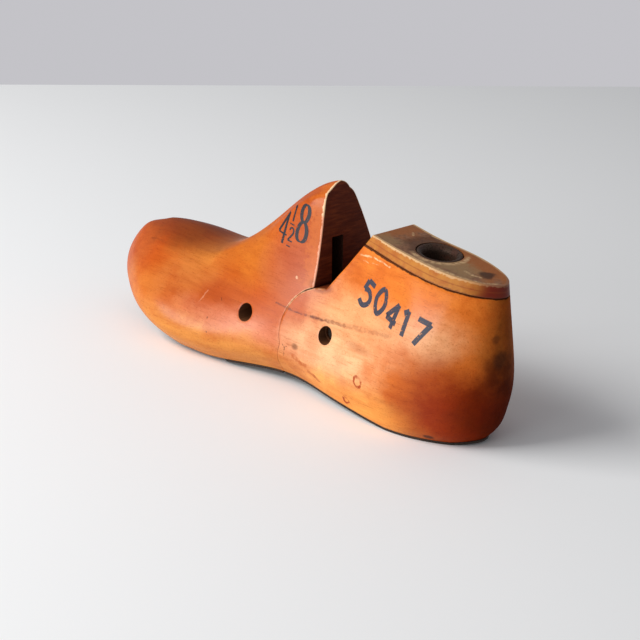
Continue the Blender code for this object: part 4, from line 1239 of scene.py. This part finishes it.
def turned(name, profile, centre, axis, finish, steps):
    """A round piece spun from an outline of radius, height pairs about an axis through a centre."""
    shape = bmesh.new()
    verts = [shape.verts.new((radius, 0, up)) for radius, up in profile]
    edges = [shape.edges.new(pair) for pair in zip(verts, verts[1:])]
    if profile[0][0] > 0:
        edges.append(shape.edges.new((verts[-1], verts[0])))
    bmesh.ops.spin(shape, geom=verts + edges, cent=(0, 0, 0), axis=(0, 0, 1), angle=2 * math.pi,
                   steps=steps, use_merge=True)
    bmesh.ops.remove_doubles(shape, verts=shape.verts, dist=WELD)
    bmesh.ops.recalc_face_normals(shape, faces=shape.faces)
    bmesh.ops.transform(shape, matrix=standing(centre, axis), verts=shape.verts)
    made = new_piece(name, shape, finish)
    shade(made.data)
    return made


profile = [(THIMBLE_BORE + out, -down) for out, down in MOUTH_PROFILE]
profile += [(THIMBLE_RADIUS, -THIMBLE_SHOULDER), (THIMBLE_RADIUS, -THIMBLE_LENGTH),
            (THIMBLE_BORE, -THIMBLE_LENGTH)]
thimble = turned("thimble_tube", profile, mouth, TOP_NORMAL, THIMBLE_STEEL, THIMBLE_STEPS)
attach(thimble, "heel_block")
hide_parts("thimble")


# Top nail. One round-headed nail behind the thimble holds the top piece, hammered just below its
# face, dark with rust that has stained the leather round it.
TOP_NAIL_ALONG = 0.0135
TOP_NAIL_SINK = 0.0001
TOP_NAIL_STEPS = 32
TOP_NAIL_PROFILE = ((0.0, 0.0), (0.0009, -0.00003), (0.0014, -0.0002), (0.0016, -0.0005),
                    (0.0009, -0.0010), (0.0009, -0.0200), (0.0, -0.0220))
nail_spot = place(TOP_NAIL_ALONG, 0, top_up(TOP_NAIL_ALONG)) - TOP_NORMAL * TOP_NAIL_SINK
top_nail = turned("top_nail_steel", TOP_NAIL_PROFILE, nail_spot, TOP_NORMAL, NAIL_STEEL,
                  TOP_NAIL_STEPS)
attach(top_nail, "heel_block")
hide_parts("top_nail")


# Steel plates. Sheet steel cut to the sole's outline, a little smaller, and nailed on under each
# block so that the lasting tacks clench against it. Only its dark edge shows from the side.
PLATE_THICK = 0.0010
PLATE_INSET = 0.0006
TOE_INSET = 0.0035           # the sole plate lies this far in round the toe
TOE_PART = (0.132, 0.136)    # from the first place to the second the inset grows
PLATE_SEAM = 0.0012
PLATE_ROWS = 12
NAIL_HEAD = 0.0021
NAIL_SEAT = (-0.002, 0.0009)           # the seat of its head lies between these, from its lower end
NAIL_STEPS = 32


def make_plate(name, start, end, nails, finish):
    """Sheet of steel under the sole from one place along to another, holed for its nails' heads."""
    inner, outer = surface[0], surface[-1]
    inset = np.interp(inner[:, :1], TOE_PART, (PLATE_INSET, TOE_INSET))
    across = np.maximum(outer[:, 1:2] - inner[:, 1:2], 2 * inset)
    shares = np.linspace(0, 1, PLATE_ROWS + 1)[:, None, None]
    inset = inset / across
    sheet = inner + (outer - inner) * (inset + (1 - 2 * inset) * shares) - (0, 0, GAP)
    shape = bmesh.new()
    add_patch(shape, sheet, 0)
    bmesh.ops.remove_doubles(shape, verts=shape.verts, dist=WELD)
    for along, side in ((start, 1), (end, -1)):
        bmesh.ops.bisect_plane(shape, geom=shape.verts[:] + shape.edges[:] + shape.faces[:], dist=WELD,
                               plane_co=place(along, 0, 0), plane_no=(side, 0, 0), clear_outer=True)
    for face in shape.faces:
        if face.normal.z < 0:
            face.normal_flip()
    top = shape.faces[:]
    thicken(shape, top, (0, 0, -PLATE_THICK), keep=True)
    plate = close_up(name, shape, [finish])
    heads = []
    for i in range(1, nails + 1):
        nail_low, nail_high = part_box(f"{name[:4]}_nail_{i}")
        spot = Vector(((nail_low.x + nail_high.x) / 2, (nail_low.y + nail_high.y) / 2, nail_low.z))
        ends = [spot + Vector((0, 0, up)) for up in NAIL_SEAT]
        heads.append(cutter("head", rod(*ends, NAIL_HEAD + GAP, NAIL_STEPS), finish))
    cut_away(plate, heads)
    return plate


seam = leg_along(LOBE_RADIUS) + LEG_UP * math.tan(LEG_LEAN)     # where the joint meets the floor
sole_plate = make_plate("sole_sheet", seam + GAP, LENGTH - LEVELS[0][2] - TOE_INSET, 6, PLATE_STEEL)
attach(sole_plate, "front_block")
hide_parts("sole_plate")
heel_plate = make_plate("heel_sheet", PLATE_INSET, seam - PLATE_SEAM, 5, PLATE_STEEL)
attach(heel_plate, "heel_block")
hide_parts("heel_plate")


for name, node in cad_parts.items():
    if "_nail_" in name:
        node.material_slots[0].material = NAIL_STEEL
    elif name in ("hinge_link", "link_spring", "spring_seat", "front_pin", "rear_pin"):
        node.material_slots[0].material = LINK_STEEL
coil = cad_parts["link_spring"].copy()
coil.data = coil.data.copy()
coil.name = "spring_coil"
wire = bmesh.new()
wire.from_mesh(coil.data)
bmesh.ops.remove_doubles(wire, verts=wire.verts, dist=WELD)
wire.to_mesh(coil.data)
wire.free()
bpy.context.scene.collection.objects.link(coil)
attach(coil, "spring_link")
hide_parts("link_spring")
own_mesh(coil)


# Marks. The size is stencilled in black on the instep's inner side, and a number is stamped by
# hand, one worn rubber figure at a time, on the heel's. The figures are made-up numbers.
INK_LIFT = 0.00003
STROKE_STEPS = 24
# Strokes of each figure in a box 0.6 wide and 1 high
FIGURES = {
    "0": [((0.30, 1.0), (0.08, 0.72), (0.08, 0.28), (0.30, 0.0), (0.52, 0.28), (0.52, 0.72),
           (0.30, 1.0))],
    "1": [((0.14, 0.84), (0.34, 1.0)), ((0.34, 1.0), (0.34, 0.0))],
    "2": [((0.07, 0.78), (0.16, 0.96), (0.34, 1.0), (0.51, 0.84), (0.46, 0.58), (0.26, 0.30),
           (0.07, 0.05)),
          ((0.05, 0.04), (0.56, 0.04))],
    "4": [((0.42, 1.0), (0.04, 0.30)), ((0.04, 0.30), (0.58, 0.30)), ((0.42, 1.0), (0.42, 0.0))],
    "5": [((0.50, 0.97), (0.13, 0.97)), ((0.13, 0.97), (0.09, 0.56)),
          ((0.09, 0.56), (0.28, 0.64), (0.52, 0.46), (0.50, 0.16), (0.28, 0.0), (0.06, 0.10))],
    "7": [((0.05, 0.97), (0.56, 0.97)), ((0.56, 0.97), (0.24, 0.0))],
    "8": [((0.30, 0.53), (0.10, 0.68), (0.12, 0.92), (0.30, 1.0), (0.47, 0.92), (0.50, 0.70),
           (0.30, 0.53)),
          ((0.30, 0.53), (0.06, 0.36), (0.08, 0.08), (0.30, 0.0), (0.52, 0.08), (0.54, 0.36),
           (0.30, 0.53))],
    "-": [((0.02, 0.0), (0.58, 0.0))],
}


def make_ink(name, tone, worn_share):
    """Ink that has worn off the shellac in specks."""
    finish, tree, shader, spot = new_material(name)
    specks = speckle(tree, spot, 900.0, 4.0, 0.6)
    shows = band(tree, specks, worn_share - 0.08, worn_share + 0.08, 0.15, 0.95)
    fill(tree, shader, {"Base Color": tone, "Roughness": 0.5, "Alpha": shows})
    return finish


def stroke_points(stroke):
    """Even points along a stroke, curved through its guides."""
    guides = np.array(stroke, float)
    if len(guides) == 2:
        return guides[0] + (guides[1] - guides[0]) * np.linspace(0, 1, STROKE_STEPS + 1)[:, None]
    knots = running(np.hypot(*np.diff(guides, axis=0).T))
    closed = stroke[0] == stroke[-1]
    return spline(knots, guides, np.linspace(0, knots[-1], STROKE_STEPS + 1), closed)


def add_figure(shape, tree, figure, along, up, width, height, tilt, thick, thin):
    """Ink strokes of one figure laid on the inner side, with its foot's middle at along, up."""
    for stroke in FIGURES[figure]:
        line = (stroke_points(stroke) - (0.3, 0)) * (width / 0.6, height)
        heading = np.gradient(line, axis=0)
        heading /= np.linalg.norm(heading, axis=1, keepdims=True)
        half = (thin + (thick - thin) * np.abs(heading[:, 1:])) / 2
        square = heading[:, ::-1] * (-1, 1) * half
        made = bmesh.ops.create_grid(shape, x_segments=STROKE_STEPS, y_segments=3, size=1)["verts"]
        sheet = np.concatenate([line + square * shift for shift in (-1, -1 / 3, 1 / 3, 1)])
        turn = np.array(((math.cos(tilt), math.sin(tilt)), (-math.sin(tilt), math.cos(tilt))))
        for vert, (right, above) in zip(made, sheet @ turn):
            start = place(along - right, -LENGTH, up + above)
            hit, normal = tree.ray_cast(start, Vector((0, 1, 0)))[:2]
            vert.co = hit + normal * INK_LIFT


def stamp(name, carrier, body, figures, finish):
    """A row of figures as one piece of ink on a block."""
    tree = BVHTree.FromObject(carrier, bpy.context.evaluated_depsgraph_get())
    shape = bmesh.new()
    for figure in figures:
        add_figure(shape, tree, *figure)
    bmesh.ops.recalc_face_normals(shape, faces=shape.faces)
    for face in shape.faces:
        if face.normal.y > 0:
            face.normal_flip()
    made = new_piece(name, shape, finish)
    film = made.modifiers.new("film", "SOLIDIFY")
    film.thickness = INK_LIFT * 2
    film.offset = -1
    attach(made, body)
    return made


BLACK_INK = make_ink("black_ink", colour(30, 28, 36), 0.36)
GREY_INK = make_ink("grey_ink", colour(48, 48, 62), 0.38)
# Figure, along and up of its foot, width, height, tilt, thick and thin strokes
stamp("size_mark", forepart, "front_block", (
    ("4", 0.1117, 0.0600, 0.0066, 0.0132, -0.06, 0.0015, 0.0007),
    ("1", 0.1062, 0.0703, 0.0034, 0.0066, -0.06, 0.0011, 0.0005),
    ("-", 0.1061, 0.0690, 0.0032, 0.0010, -0.06, 0.0005, 0.0005),
    ("2", 0.1059, 0.0618, 0.0034, 0.0058, -0.06, 0.0010, 0.0006),
    ("-", 0.1062, 0.0598, 0.0026, 0.0010, -0.06, 0.0005, 0.0005),
    ("8", 0.1000, 0.0632, 0.0058, 0.0157, -0.06, 0.0020, 0.0006),
), BLACK_INK)
stamp("heel_mark", heel_part, "heel_block", (
    ("5", 0.0605, 0.0480, 0.0070, 0.0100, -0.30, 0.0021, 0.0021),
    ("0", 0.0510, 0.0475, 0.0066, 0.0100, -0.18, 0.0021, 0.0021),
    ("4", 0.0425, 0.0450, 0.0070, 0.0100, -0.22, 0.0021, 0.0021),
    ("1", 0.0345, 0.0440, 0.0066, 0.0100, -0.10, 0.0021, 0.0021),
    ("7", 0.0270, 0.0425, 0.0070, 0.0100, -0.20, 0.0021, 0.0021),
), GREY_INK)
